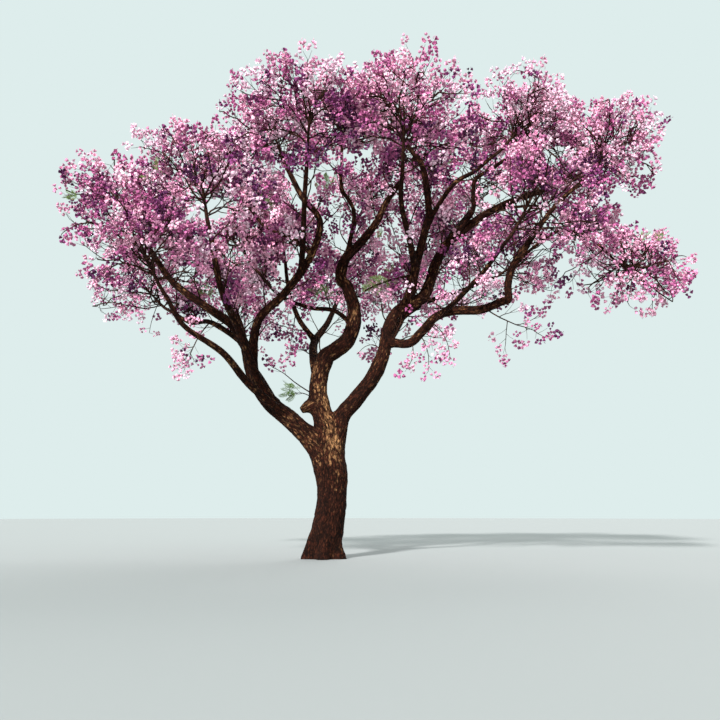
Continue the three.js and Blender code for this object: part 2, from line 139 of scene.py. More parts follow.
LIMBS = (
    LimbPlan("trunk", None, None,
        ((-0.02, 0, -0.35), (0, 0, 0.1), (0.07, 0, 0.7), (0.21, 0, 1.4), (0.23, 0.01, 2.1),
         (0.18, 0.01, 2.75), (0.12, 0.02, 3.35), (0.1, 0.02, 3.85)),
        (0.5, 0.48, 0.465, 0.46, 0.455, 0.44, 0.38)),
    # The left bough, which parts low from the trunk, and what it carries
    LimbPlan("bough_left", "trunk", 4.7,
        ((-0.35, -0.04, 3.5), (-0.98, -0.12, 4.15), (-1.7, -0.25, 4.75), (-2.2, -0.4, 5.5),
         (-2.45, -0.5, 6.35)),
        (0.34, 0.32, 0.27, 0.22, 0.17)),
    LimbPlan("bough_left_outer", "bough_left", None,
        ((-2.9, -0.65, 7.15), (-3.8, -0.9, 7.75), (-4.7, -1.2, 8.4), (-5.3, -1.45, 9.25)),
        (0.17, 0.08), 2.25),
    LimbPlan("bough_left_low", "bough_left_outer", 1.2,
        ((-3.7, 0.1, 7.4), (-4.5, 0.75, 7.55), (-5.2, 1.15, 8)),
        (0.1, 0.06), 2.25),
    LimbPlan("bough_left_back", "bough_left", 2.8,
        ((-2.1, 0.6, 5.55), (-2.7, 1.75, 6.5), (-3.1, 2.75, 7.8), (-3.6, 3.45, 9)),
        (0.18, 0.07), 2.25),
    LimbPlan("bough_left_front", "bough_left", 3.6,
        ((-2.5, -1.5, 6.7), (-2.9, -2.75, 7.7), (-3.1, -3.7, 9.1)),
        (0.15, 0.07), 2.15),
    LimbPlan("bough_left_front_low", "bough_left", 2.4,
        ((-2.2, -1.4, 5.15), (-2.8, -2.75, 5.85), (-3.7, -3.8, 6.4), (-4.1, -4.3, 7.1)),
        (0.14, 0.06), 2.05),
    LimbPlan("bough_left_top", "bough_left", 4.2,
        ((-2.1, -0.7, 7.2), (-1.25, -0.9, 8.1), (-0.45, -1.15, 9.2), (-0.15, -1.25, 10.3),
         (-0.7, -1.25, 11.1), (-1.1, -1.2, 11.9)),
        (0.15, 0.13, 0.11, 0.08), 2),
    LimbPlan("bough_top_left", "bough_left_top", 3.1,
        ((-1.1, -0.6, 10.0), (-2.0, 0.0, 10.6), (-2.6, 0.3, 11.4)),
        (0.08, 0.055), 1.9),
    # The upright bough, in three stretches between its bends
    LimbPlan("bough_upright_lower", "trunk", None,
        ((-0.04, 0.03, 4.3), (-0.19, 0.05, 4.75), (-0.23, 0.08, 5.2), (-0.16, 0.1, 5.75),
         (-0.02, 0.12, 6.15)),
        (0.38, 0.31, 0.275, 0.275)),
    LimbPlan("bough_upright_middle", "bough_upright_lower", None,
        ((0.32, 0.18, 6.5), (0.7, 0.26, 6.85), (0.9, 0.32, 7.4), (0.9, 0.38, 8.0), (0.72, 0.42, 8.55)),
        (0.275, 0.255, 0.235, 0.2)),
    LimbPlan("bough_upright_upper", "bough_upright_middle", None,
        ((0.47, 0.45, 9.0), (0.62, 0.48, 9.65), (1.15, 0.52, 10.25), (1.65, 0.56, 10.95),
         (2.0, 0.6, 11.7), (2.4, 0.62, 12.3)),
        (0.2, 0.17, 0.14, 0.11, 0.09), 1.85),
    LimbPlan("bough_side_left", "bough_upright_middle", 3.9,
        ((0.25, 0.35, 7.85), (-0.6, 0.5, 8.0), (-1.6, 0.75, 8.5), (-2.3, 0.9, 9.3)),
        (0.08, 0.05), 1.9),
    LimbPlan("bough_back", "bough_upright_lower", 4.2,
        ((-0.4, 1.05, 6.3), (-0.5, 2.4, 7.2), (-0.1, 3.7, 8.2), (0.2, 5, 9.3)),
        (0.19, 0.08), 2.35),
    LimbPlan("bough_back_left", "bough_back", 2.1,
        ((-1.1, 2.9, 8.2), (-1.5, 3.25, 9.4), (-1.7, 3.6, 10.7)),
        (0.1, 0.06), 2.05),
    LimbPlan("bough_back_top", "bough_upright_upper", 2.2,
        ((0.75, 1.5, 10.4), (0.8, 2.55, 11.3), (1.1, 3.25, 12.2)),
        (0.1, 0.06), 1.9),
    LimbPlan("bough_top", "bough_upright_upper", 3.1,
        ((0.9, 0.1, 11.1), (0.5, -0.1, 11.9), (0.5, -0.2, 12.8)),
        (0.08, 0.055), 1.75),
    # The right bough, which leans out over the street, and the limbs that it divides into
    LimbPlan("bough_right", "trunk", 5.1,
        ((0.38, -0.03, 3.75), (0.55, -0.07, 4.35), (0.98, -0.13, 4.88), (1.5, -0.2, 5.55),
         (1.84, -0.24, 6.3), (1.98, -0.2, 7.1), (2.25, -0.1, 7.65), (2.72, 0, 7.98)),
        (0.32, 0.31, 0.26, 0.24, 0.235, 0.2, 0.19, 0.2)),
    LimbPlan("bough_right_outer", "bough_right", None,
        ((3.15, 0.1, 8.25), (3.38, 0.25, 8.75), (3.6, 0.4, 9.45), (3.98, 0.55, 10.15),
         (4.55, 0.7, 10.7), (5.4, 0.8, 11.35), (6.3, 0.95, 11.85), (7.15, 1.1, 12.2)),
        (0.2, 0.17, 0.16, 0.14, 0.12, 0.1), 2),
    LimbPlan("bough_right_inner", "bough_right", 7.6,
        ((2.72, -0.3, 8.4), (2.84, -0.55, 8.9), (3.02, -0.85, 9.6), (3.22, -1.15, 10.35)),
        (0.15, 0.14, 0.12)),
    LimbPlan("bough_inner_left", "bough_right_inner", None,
        ((3.24, -1.3, 10.8), (3.16, -1.55, 11.4), (3, -1.75, 12), (2.6, -1.9, 12.5)),
        (0.12, 0.075), 1.85),
    LimbPlan("bough_inner_right", "bough_right_inner", 3.8,
        ((3.55, -1.45, 10.8), (4.05, -1.75, 11.4), (4.6, -2, 11.65), (5.1, -2.25, 12)),
        (0.085, 0.055), 1.9),
    LimbPlan("bough_right_hook", "bough_right_outer", 5.1,
        ((4.85, 0.5, 11.25), (4.88, 0.3, 11.8), (4.95, 0.15, 12.3), (5.4, 0.0, 12.55),
         (5.85, -0.1, 12.85)),
        (0.085, 0.06), 1.8),
    LimbPlan("bough_right_arch", "bough_right_outer", 7.3,
        ((7.1, 1.3, 11.82), (7.6, 1.55, 11.75), (8.1, 1.75, 11.4)),
        (0.06, 0.035), 1.8),
    LimbPlan("bough_right_back", "bough_right_outer", 4.1,
        ((4.3, 1.5, 10.9), (4.8, 2.4, 11.7), (5.2, 3.1, 12.4)),
        (0.1, 0.06), 1.9),
    LimbPlan("bough_low_right", "bough_right", 5.5,
        ((2.6, -0.45, 6.6), (3.0, -0.6, 6.9), (3.45, -0.8, 7.35), (4, -1.05, 7.5), (4.8, -1.3, 7.48),
         (5.45, -1.5, 7.7)),
        (0.15, 0.14, 0.14, 0.125)),
    LimbPlan("bough_low_right_outer", "bough_low_right", None,
        ((5.6, -1.55, 8.2), (5.75, -1.6, 8.75), (6.15, -1.75, 9.35), (6.6, -1.9, 10),
         (7.1, -2.1, 10.6), (7.6, -2.2, 11.05)),
        (0.125, 0.115, 0.1, 0.07, 0.06), 2.05),
    LimbPlan("bough_low_right_arch", "bough_low_right_outer", 3.2,
        ((6.8, -2.2, 9.55), (7.4, -2.4, 9.6), (7.95, -2.65, 9.2), (8.3, -2.75, 8.8)),
        (0.05, 0.035), 1.8),
    LimbPlan("bough_low_front", "bough_low_right", 3.3,
        ((4, -2.1, 7.6), (4.6, -3.25, 8.1), (5.1, -4.05, 8.7)),
        (0.09, 0.055), 2.05),
    LimbPlan("bough_back_right", "bough_right", 4.6,
        ((1.95, 0.6, 6.7), (2.4, 1.95, 7.7), (2.9, 3.25, 8.9), (3.4, 4.3, 10.1)),
        (0.17, 0.07), 2.25),
    LimbPlan("bough_back_outer", "bough_back_right", 2.4,
        ((3.5, 2.9, 8.8), (4.7, 3.35, 9.3), (5.9, 3.8, 9.9)),
        (0.1, 0.06), 2.25),
    LimbPlan("bough_front", "bough_right_inner", 2.1,
        ((2.6, -1.75, 9.6), (2.3, -3, 10.3), (2.3, -3.95, 11)),
        (0.11, 0.06), 2.15),
    LimbPlan("bough_front_left", "bough_left_top", 2.6,
        ((-0.6, -2.2, 9.5), (-0.5, -3.25, 10.2), (-0.4, -3.95, 11)),
        (0.1, 0.06), 2.05),
)

# Cut-off limbs that only the scene has
STUMPS = (
    LimbPlan("stump_upright", "bough_upright_lower", 3,
        ((-0.45, -0.07, 4.67), (-0.6, -0.11, 4.6), (-0.73, -0.14, 4.52)),
        (0.24, 0.22, 0.19, 0.11)),
)


def seen(points: Array) -> Array:
    """Carries points along their lines of sight to the photograph's plane, which stands in the trunk."""
    eye = np.array(EYE)
    return eye - (points - eye) * (eye[1] / (points[..., 1:2] - eye[1]))


def lerp(ends: Span, share: float) -> float:
    """The value between two ends at a share from 0 to 1."""
    return ends[0] + (ends[1] - ends[0]) * share


def unit(vectors: Array) -> Array:
    """The same directions, each with a length of 1."""
    return vectors / np.maximum(np.linalg.norm(vectors, axis=-1, keepdims=True), 1e-9)


def distances(points: Array) -> Array:
    """How far along a line of points each of them lies."""
    gaps = np.linalg.norm(np.diff(points, axis=0), axis=1)
    return np.concatenate([[0], np.cumsum(gaps)])


def sideways(along: Array, turn: float, lean: float) -> Array:
    """A vector square to a direction, turned round it by an angle, as long as the lean."""
    across = unit(np.cross(along, UP) + 1e-4)
    third = np.cross(along, across)
    return (across * math.cos(turn) + third * math.sin(turn)) * lean


def searched(places: Array, rows: Array) -> KDTree:
    """Some rows of a table of places, set out so that the nearest is quickly found."""
    tree = KDTree(len(rows))
    for row in rows:
        tree.insert(places[row], row)
    tree.balance()
    return tree


def read(items: bpy.types.bpy_prop_collection, name: str, width: int, kind: type) -> Array:
    """Reads one property of all vertices, edges or faces, a row for each."""
    values = np.empty(len(items) * width, kind)
    items.foreach_get(name, values)
    return values.reshape(-1, width)


def linked(name: str, data: bpy.types.ID) -> bpy.types.Object:
    """Puts a mesh, light or camera in the scene."""
    made = bpy.data.objects.new(name, data)
    bpy.context.scene.collection.objects.link(made)
    return made


def mesh_of(name: str, bm: bmesh.types.BMesh) -> bpy.types.Mesh:
    """Makes a mesh of a bmesh, which is freed."""
    mesh = bpy.data.meshes.new(name)
    bm.to_mesh(mesh)
    bm.free()
    return mesh


def changed(mesh: bpy.types.Mesh, kind: str, **settings: float | str) -> bpy.types.Mesh:
    """Puts a mesh through a modifier.

    Args:
        mesh: The mesh, which is freed.
        kind: The modifier's type.
        settings: Its settings by name.

    Returns:
        The changed mesh.
    """
    carrier = linked(mesh.name, mesh)
    modifier = carrier.modifiers.new(kind, kind)
    for name, value in settings.items():
        setattr(modifier, name, value)
    shown = carrier.evaluated_get(bpy.context.evaluated_depsgraph_get())
    made = bpy.data.meshes.new_from_object(shown)
    bpy.data.objects.remove(carrier)
    bpy.data.meshes.remove(mesh)
    return made


def dress(made: bpy.types.Object, finish: bpy.types.Material, nodes: list[str]) -> None:
    """Gives a piece its finish, and says what it rides on and stands for.

    Args:
        made: The piece.
        finish: Its material.
        nodes: The solids that it replaces.
    """
    made.data.materials.clear()
    made.data.materials.append(finish)
    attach(made, "root")
    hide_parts(*nodes)


def smooth(mesh: bpy.types.Mesh) -> None:
    """Shades a mesh as a rounded surface."""
    mesh.polygons.foreach_set("use_smooth", np.ones(len(mesh.polygons), bool))


class Seeded:
    """Random numbers from 0 to 1, the same ones that the solids are grown with."""

    MASK = 0xFFFFFFFF
    STEP = 0x6D2B79F5

    def __init__(self, seed: int) -> None:
        self.state = seed

    def draw(self) -> float:
        """The next number."""
        self.state = (self.state + self.STEP) & self.MASK
        mixed = ((self.state ^ (self.state >> 15)) * (self.state | 1)) & self.MASK
        mixed ^= (mixed + (mixed ^ (mixed >> 7)) * (mixed | 61)) & self.MASK
        return (mixed ^ (mixed >> 14)) / (self.MASK + 1)


class Route:
    """A smooth line through knots, measured along its length."""

    DIVISIONS = 200
    STEP = 1e-4

    def __init__(self, knots: list[Array]) -> None:
        self.knots = np.array(knots, float)
        before = 2 * self.knots[0] - self.knots[1]
        after = 2 * self.knots[-1] - self.knots[-2]
        self.padded = np.vstack([before, self.knots, after])
        self.ticks = np.linspace(0, 1, self.DIVISIONS + 1)
        self.lengths = distances(self.by_knots(self.ticks))
        self.length = float(self.lengths[-1])

    def by_knots(self, shares: Array) -> Array:
        """Points at shares of the way from the first knot to the last, each span counting the same.

        Args:
            shares: Numbers from 0 to 1.

        Returns:
            One point for each share.
        """
        spans = len(self.knots) - 1
        place = np.clip(np.atleast_1d(shares), 0, 1) * spans
        first = np.minimum(place.astype(int), spans - 1)
        w = (place - first)[:, None]
        p0, p1, p2, p3 = (self.padded[first + i] for i in range(4))
        leave, reach = (p2 - p0) / 2, (p3 - p1) / 2
        cubic = 2 * p1 - 2 * p2 + leave + reach
        square = 3 * p2 - 3 * p1 - 2 * leave - reach
        return ((cubic * w + square) * w + leave) * w + p1

    def knot_share(self, shares: Array) -> Array:
        """Turns shares of the length into shares of the knots."""
        return np.interp(np.atleast_1d(shares) * self.length, self.lengths, self.ticks)

    def points(self, shares: Array) -> Array:
        """Points at shares of the length."""
        return self.by_knots(self.knot_share(shares))

    def tangents(self, shares: Array) -> Array:
        """Directions at shares of the length."""
        at = self.knot_share(shares)
        return unit(self.by_knots(at + self.STEP) - self.by_knots(at - self.STEP))


class Limb:
    """The centre line and radii of the trunk or a bough."""

    def __init__(self, plan: LimbPlan, parent: "Limb | None") -> None:
        self.plan = plan
        self.parent = parent
        self.runs_on = parent is not None and plan.at is None
        knots = [np.array(knot, float) for knot in plan.route]
        self.route = Route(self.first_knots() + knots)
        self.tip = self.route.points(1)[0]
        self.heading = self.route.tangents(1)[0]

    def first_knots(self) -> list[Array]:
        """Where the limb leaves its parent, and in which direction where it runs on."""
        if self.parent is None:
            return []
        if not self.runs_on:
            knots = len(self.parent.route.knots)
            return [self.parent.route.by_knots(self.plan.at / (knots - 1))[0]]
        return [self.parent.tip + self.parent.heading * ahead for ahead in (1.1 * SEAM, RUN_ON)]

    @property
    def order(self) -> int:
        """How many times the way from the trunk's foot to this limb turns off into a side limb."""
        return self.parent.order + (not self.runs_on) if self.parent else 0

    def radii(self, shares: Array) -> Array:
        """The limb's radius at shares of its length, without its collar or flare."""
        return np.interp(shares, np.linspace(0, 1, len(self.plan.radii)), self.plan.radii)

    def stops(self, spacing: float) -> Array:
        """The shares of its length at points that lie evenly along it, at most so far apart."""
        return np.linspace(0, 1, math.ceil(self.route.length / spacing) + 1)


def grow_limbs(plans: tuple[LimbPlan, ...]) -> list[Limb]:
    """Makes the limbs, main limbs before side limbs, as the solids are ordered."""
    made: dict[str, Limb] = {}
    for plan in plans:
        made[plan.name] = Limb(plan, made.get(plan.parent))
    return sorted(made.values(), key=lambda limb: limb.order)


@dataclass
class Touch:
    """What a way tells of points near it: one row for each point."""

    depth: Array
    out: Array
    along: Array
    angle: Array
    radius: Array


class Way:
    """The centre line of a limb and of the limbs that run on from its end, as one."""

    SPACING = 0.025
    MARGIN = 0.35
    SIDE = (0.0, -1.0, 0.0)  # near where angles round a way are counted from

    def __init__(self, limbs: list[Limb]) -> None:
        self.limbs = limbs
        self.is_trunk = limbs[0].parent is None
        stops = [(limb, limb.stops(self.SPACING)[int(limb.runs_on):]) for limb in limbs]
        self.points = np.vstack([limb.route.points(shares) for limb, shares in stops])
        self.tangents = np.vstack([limb.route.tangents(shares) for limb, shares in stops])
        self.radii = np.concatenate([limb.radii(shares) for limb, shares in stops])
        self.along = distances(self.points)
        self.across = self.turned_along()
        self.tree = searched(self.points, np.arange(len(self.points)))

    def turned_along(self) -> Array:
        """A direction square to the way at each of its points, carried along it without twisting."""
        across = np.empty_like(self.points)
        last = np.array(self.SIDE)
        for i, tangent in enumerate(self.tangents):
            last = unit(last - tangent * (last @ tangent))
            across[i] = last
        return across

    def girth(self, index: Array, angle: Array) -> Array:
        """The radius at points of the way, with the trunk's flare and a side limb's collar."""
        radius = self.radii[index]
        if not self.is_trunk:
            return radius * (1 + COLLAR_SHARE * np.exp(-((self.along[index] / COLLAR_LENGTH) ** 2)))
        height = np.maximum(self.points[index, 2], 0)
        fade = np.exp(-((height / FLARE_HEIGHT) ** FLARE_FADE))
        return radius * (1 + fade * (FLARE_SHARE + LOBE_SHARE * np.cos(ROOT_LOBES * angle)))

    def near(self, places: Array) -> Array:
        """Which places lie in the way's box, grown by its margin."""
        margin = self.MARGIN + self.radii.max()
        low, high = self.points.min(axis=0) - margin, self.points.max(axis=0) + margin
        return np.nonzero(((places > low) & (places < high)).all(axis=1))[0]

    def touch(self, places: Array) -> Touch:
        """Measures places against the way's surface.

        Args:
            places: The points to measure.

        Returns:
            Their depth outside the surface, the way out from it, and where along and round the way they lie.
        """
        index = np.array([self.tree.find(place)[1] for place in places], int)
        offset = places - self.points[index]
        ahead = np.einsum("ij,ij->i", offset, self.tangents[index])
        inner = (index > 0) & (index < len(self.points) - 1)
        beyond = ~inner & ((index == 0) == (ahead < 0))
        radial = offset - self.tangents[index] * np.where(beyond, 0, ahead)[:, None]
        reach = np.linalg.norm(radial, axis=1)
        across = self.across[index]
        third = np.cross(self.tangents[index], across)
        angle = np.arctan2(np.einsum("ij,ij->i", radial, third), np.einsum("ij,ij->i", radial, across))
        radius = self.girth(index, angle)
        return Touch(reach - radius, unit(radial), self.along[index] + ahead, angle, radius)


def find_ways(limbs: list[Limb]) -> dict[str, Way]:
    """Joins each limb with those that run on from its end, by the name of the first."""
    chains = {limb.plan.name: [limb] for limb in limbs if not limb.runs_on}
    for limb in limbs:
        if limb.runs_on:
            next(chain for chain in chains.values() if limb.parent in chain).append(limb)
    return {name: Way(chain) for name, chain in chains.items()}


@dataclass
class Surface:
    """Several ways as one skin, whose forks are filled to a smooth crotch."""

    ways: list[Way]
    fillet_share: float = 0.75
    far: float = 10.0

    def measure(self, places: Array) -> Touch:
        """Measures places against the joint skin.

        Args:
            places: The points to measure.

        Returns:
            Their depth outside the skin and the way out from it, and the rest against the nearest way.
        """
        count = len(places)
        depth = np.full(count, self.far)
        nearest = np.full(count, self.far)
        out = np.tile(UP, (count, 1))
        along, angle, radius = np.zeros(count), np.zeros(count), np.ones(count)
        for way in self.ways:
            rows = way.near(places)
            if len(rows) == 0:
                continue
            touch = way.touch(places[rows])
            fillet = self.fillet_share * np.minimum(touch.radius, radius[rows])
            overlap = np.maximum(fillet - np.abs(depth[rows] - touch.depth), 0) / fillet
            takes = touch.depth < depth[rows]
            share = np.where(takes, 1 - overlap / 2, overlap / 2)[:, None]
            out[rows] = unit(out[rows] * (1 - share) + touch.out * share)
            depth[rows] = np.minimum(depth[rows], touch.depth) - overlap**2 * fillet / 4
            closer = touch.depth < nearest[rows]
            kept = rows[closer]
            nearest[kept] = touch.depth[closer]
            along[kept], angle[kept] = touch.along[closer], touch.angle[closer]
            radius[kept] = touch.radius[closer]
        return Touch(depth, out, along, angle, radius)


@dataclass
class Relief:
    """The shape of jacaranda bark: bulges, flutes along the limb, and small plates between cracks."""

    bulge_size: float = 0.55
    bulge_share: float = 0.07
    bulge_octaves: int = 3
    flute_width: float = 0.17
    flute_length: float = 1.2
    flute_share: float = 0.08
    plate_width: float = 0.062
    plate_length: float = 0.23
    crack_width: float = 0.28
    crack_depth: float = 0.013
    crack_share: float = 0.035
    root_share: float = 0.1
    root_height: float = 0.5

    def at(self, place: Array, along: float, angle: float, radius: float) -> tuple[float, float]:
        """The relief at one point of the skin.

        Args:
            place: The point.
            along: Where it lies along its limb.
            angle: Where it lies round its limb.
            radius: The limb's radius there.

        Returns:
            How far the skin stands out, and 1 on a plate falling to 0 in a crack.
        """
        across = (radius * math.cos(angle), radius * math.sin(angle))
        bulge = noise.fractal(
            Vector(place) / self.bulge_size, NOISE_FALLOFF, NOISE_SCALING, self.bulge_octaves,
        )
        wide = [value / self.flute_width for value in across]
        flute = noise.noise(Vector((*wide, along / self.flute_length)))
        wide = [value / self.plate_width for value in across]
        reach = noise.voronoi(Vector((*wide, along / self.plate_length)))[0]
        plate = min((reach[1] - reach[0]) / self.crack_width, 1.0)
        deep = min(self.crack_depth, self.crack_share * radius)
        roots = math.cos(ROOT_LOBES * angle) * math.exp(-((place[2] / self.root_height) ** 2))
        raised = radius * (self.bulge_share * bulge + self.flute_share * flute + self.root_share * roots)
        return raised - deep * (1 - plate), plate


def loosen(places: Array, edges: Array, share: float) -> Array:
    """Moves each point of a mesh part of the way to the middle of its neighbours.

    Args:
        places: The points.
        edges: The two points of each edge, by number.
        share: How far each moves, as a share of the way.

    Returns:
        The moved points.
    """
    count = len(places)
    ends = np.concatenate([edges, edges[:, ::-1]])
    degree = np.bincount(ends[:, 0], minlength=count)
    sums = [np.bincount(ends[:, 0], places[ends[:, 1], axis], minlength=count) for axis in range(3)]
    middle = np.stack(sums, axis=1) / np.maximum(degree, 1)[:, None]
    return places + (middle - places) * share


@dataclass
class BarkSkin:
    """The skin of several limbs in one mesh: their tubes remeshed, filled at the forks, and given relief."""

    name: str
    ways: list[Way]
    surface: Surface
    relief: Relief
    voxel: float
    sides: int = 20
    ring_spacing: float = 0.11
    rounds: int = 3
    loosening: float = 0.5
    buried: float = -0.12  # skin this deep in another limb stays there
    most_triangles: int = 185_000

    def tubes(self) -> bpy.types.Mesh:
        """Sweeps a ring along each way, and closes its ends."""
        bm = bmesh.new()
        for way in self.ways:
            self.sweep(bm, way)
        return mesh_of(self.name, bm)

    def sweep(self, bm: bmesh.types.BMesh, way: Way) -> None:
        """Adds one way's tube to the mesh.

        Args:
            bm: The mesh that the tube is added to.
            way: The way that it follows.
        """
        steps = max(2, round(way.along[-1] / self.ring_spacing))
        stops = np.linspace(0, len(way.points) - 1, steps + 1).astype(int)
        frames = [self.ring_frame(way, stop) for stop in stops]
        ring = bmesh.ops.create_circle(bm, segments=self.sides, radius=1.0, matrix=frames[0])["verts"]
        edges = list({edge for vert in ring for edge in vert.link_edges})
        bmesh.ops.edgeloop_fill(bm, edges=edges)
        for before, after in zip(frames, frames[1:]):
            drawn = bmesh.ops.extrude_edge_only(bm, edges=edges)["geom"]
            corners = {item for item in drawn if isinstance(item, bmesh.types.BMVert)}
            edges = [e for e in drawn if isinstance(e, bmesh.types.BMEdge) and set(e.verts) <= corners]
            bmesh.ops.transform(bm, matrix=after @ before.inverted(), verts=list(corners))
        bmesh.ops.edgeloop_fill(bm, edges=edges)

    @staticmethod
    def ring_frame(way: Way, stop: int) -> Matrix:
        """The place, turn and size of a ring at one point of a way."""
        radius = float(way.girth(np.array([stop]), np.array([math.pi / 2 / ROOT_LOBES]))[0])
        ahead, across = way.tangents[stop], way.across[stop]
        axes = np.stack([across, np.cross(ahead, across), ahead], axis=1) * radius
        return Matrix.Translation(way.points[stop]) @ Matrix(axes).to_4x4()

    def shape(self, mesh: bpy.types.Mesh) -> None:
        """Moves the skin onto the limbs' true surface and gives it the bark's relief.

        Args:
            mesh: The even skin, which is changed in place.
        """
        places = read(mesh.vertices, "co", 3, np.float32).astype(float)
        edges = read(mesh.edges, "vertices", 2, np.int32)
        for _ in range(self.rounds):
            for _ in range(2):
                places = loosen(places, edges, self.loosening)
            touch = self.surface.measure(places)
            moved = np.where(touch.depth < self.buried, 0, touch.depth)
            places -= touch.out * moved[:, None]
        touch = self.surface.measure(places)
        rows = zip(places, touch.along, touch.angle, touch.radius)
        raised, plate = np.array([self.relief.at(*row) for row in rows]).T
        places += touch.out * raised[:, None]
        mesh.vertices.foreach_set("co", places.astype(np.float32).ravel())
        turned = (touch.radius * np.cos(touch.angle), touch.radius * np.sin(touch.angle), touch.along)
        grain = mesh.attributes.new("grain", "FLOAT_VECTOR", "POINT")
        grain.data.foreach_set("vector", np.stack(turned, axis=1).astype(np.float32).ravel())
        cracks = mesh.attributes.new("plate", "FLOAT", "POINT")
        cracks.data.foreach_set("value", plate.astype(np.float32))

    @staticmethod
    def stand_on_ground(mesh: bpy.types.Mesh) -> None:
        """Cuts the skin flat at the ground and closes the cut."""
        bm = bmesh.new()
        bm.from_mesh(mesh)
        geometry = bm.verts[:] + bm.edges[:] + bm.faces[:]
        bmesh.ops.bisect_plane(bm, geom=geometry, plane_co=(0, 0, 0), plane_no=(0, 0, 1), clear_inner=True)
        bmesh.ops.holes_fill(bm, edges=[edge for edge in bm.edges if edge.is_boundary], sides=0)
        for vert in bm.verts:
            vert.co.z = max(vert.co.z, 0.0)
        bm.to_mesh(mesh)
        bm.free()

    def build(self, finish: bpy.types.Material) -> bpy.types.Object:
        """Makes the finished piece.

        Args:
            finish: The bark's material.

        Returns:
            The piece, which replaces its limbs' solids.
        """
        mesh = changed(self.tubes(), "REMESH", mode="VOXEL", voxel_size=self.voxel)
        self.shape(mesh)
        mesh = changed(mesh, "DECIMATE", ratio=min(1.0, self.most_triangles / (2 * len(mesh.polygons))))
        if any(way.is_trunk for way in self.ways):
            self.stand_on_ground(mesh)
        smooth(mesh)
        made = linked(self.name, mesh)
        plans = [limb.plan for way in self.ways for limb in way.limbs]
        dress(made, finish, [plan.name for plan in plans if plan in LIMBS])
        return made


class Mass:
    """The space of a mass of blossom at a bough's tip, and the branches that the solids give it."""

    GAP = -0.3  # how far the scene's finer growth may reach into a neighbour's space

    def __init__(self, limb: Limb, seed: int) -> None:
        self.node = limb.plan.name.replace("bough", "blossom")
        self.reach = float(limb.plan.reach)
        self.random = Seeded(seed)
        self.centre = limb.tip + limb.heading * CENTRE_AHEAD * self.reach + UP * CENTRE_LIFT * self.reach
        foot = limb.tip + limb.heading * SEAM
        knee = limb.tip + limb.heading * KNEE * self.reach
        self.stem = Route([foot, knee, self.centre])
        self.stem_radii = (limb.plan.radii[-1], BRANCH_RADII[0])

    def meet(self, masses: list["Mass"]) -> None:
        """Tells the mass which others it shares the crown with."""
        others = [mass for mass in masses if mass is not self]
        self.centres = np.array([mass.centre for mass in others])
        self.weights = self.reach**2 - np.array([mass.reach for mass in others]) ** 2
        self.apart = np.linalg.norm(self.centres - self.centre, axis=1)

    def holds(self, point: Array, swell: float = 1) -> bool:
        """True if a point lies in this mass's round space, and not too far into any other mass's.

        Args:
            point: The point.
            swell: How much wider than its reach the space is here.

        Returns:
            Whether it does.
        """
        out = point - self.centre
        if math.hypot(out[0], out[1], out[2] / FLATNESS) > self.reach * swell:
            return False
        nearer = ((self.centres - point) ** 2).sum(axis=1) - out @ out
        return bool(((nearer + self.weights) / (2 * self.apart) > self.GAP).all())

    def room(self, way: Array) -> float:
        """How far the mass's space goes from its centre in a direction."""
        inside = (share for share in ROOMS if self.holds(self.centre + way * share * self.reach))
        return next(inside, 0) * self.reach

    def branch_ends(self, count: int, random: Seeded) -> list[tuple[float, Array]]:
        """The source's rule for branches: starts along the stem, and tips spread evenly round the centre.

        Args:
            count: How many branches.
            random: The numbers that turn them.

        Returns:
            Each branch's start as a share of the stem, and its tip.
        """
        ends = []
        for i in range(count):
            turn = i * GOLDEN_TURN + random.draw() * TURN_SPREAD
            share = lerp(TIP_REACH, random.draw())
            rise = lerp(RISES, (i + 0.5) / count)
            flat = math.sqrt(1 - rise**2)
            way = np.array((math.cos(turn) * flat, math.sin(turn) * flat, rise * FLATNESS))
            room = self.room(way)
            if room > 0:
                ends.append((lerp(BRANCH_STARTS, i / (count - 1)), self.centre + way * share * room))
        return ends


@dataclass(frozen=True)
class Order:
    """How one order of growth leaves the order that carries it."""

    starts: Span  # where along the carrier the first and the last leave it
    count: int
    lean: float  # how far it leans out, against how far it follows its carrier
    lengths: Span  # of the first and the last
    lift: float  # how far it bends upwards
    wander: float  # how far it wanders from a smooth line, as a share of its length
    joints: int
    radii: Span


@dataclass
class Shoot:
    """One stem, branch, shoot or twig: a line of points and its two end radii."""

    LAST = 0.999  # the last share that still has a stretch ahead of it

    points: Array
    radii: Span

    def at(self, share: float) -> tuple[Array, Array]:
        """The point and the direction at a share of its length."""
        place = min(share, self.LAST) * (len(self.points) - 1)
        first = int(place)
        step = self.points[first + 1] - self.points[first]
        return self.points[first] + step * (place - first), unit(step)

    def cut(self, share: float) -> "Shoot":
        """The same shoot, ended at a share of its length."""
        points = np.array([self.at(place)[0] for place in np.linspace(0, share, len(self.points))])
        return Shoot(points, (self.radii[0], lerp(self.radii, share)))


@dataclass
class Spray:
    """One spray at a twig's end: where it sits, how it points, its size, and its depth of colour."""

    base: Array
    way: Array
    size: float
    depth: float = 0.0


class Tint(Enum):
    """The blossom's tints, from the palest to the deepest: each one's colour and share of the sprays."""

    PALE = ("#f2cbdc", 0.19)
    PINK = ("#ebb0c8", 0.21)
    LILAC = ("#d692b2", 0.21)
    MAUVE = ("#b05c8b", 0.2)
    VIOLET = ("#80346b", 0.13)
    DEEP = ("#551b4d", 0.06)

    def __init__(self, colour: str, share: float) -> None:
        self.colour = colour
        self.share = share


@dataclass(frozen=True)
class Patch:
    """A round patch of the crown as the photograph shows it, in X and Z at the trunk's depth."""

    x: float
    z: float
    radius: float

    def holds(self, place: Array) -> bool:
        """True if a point that the eye sees at this place lies in the patch."""
        return math.hypot(place[0] - self.x, place[2] - self.z) < self.radius


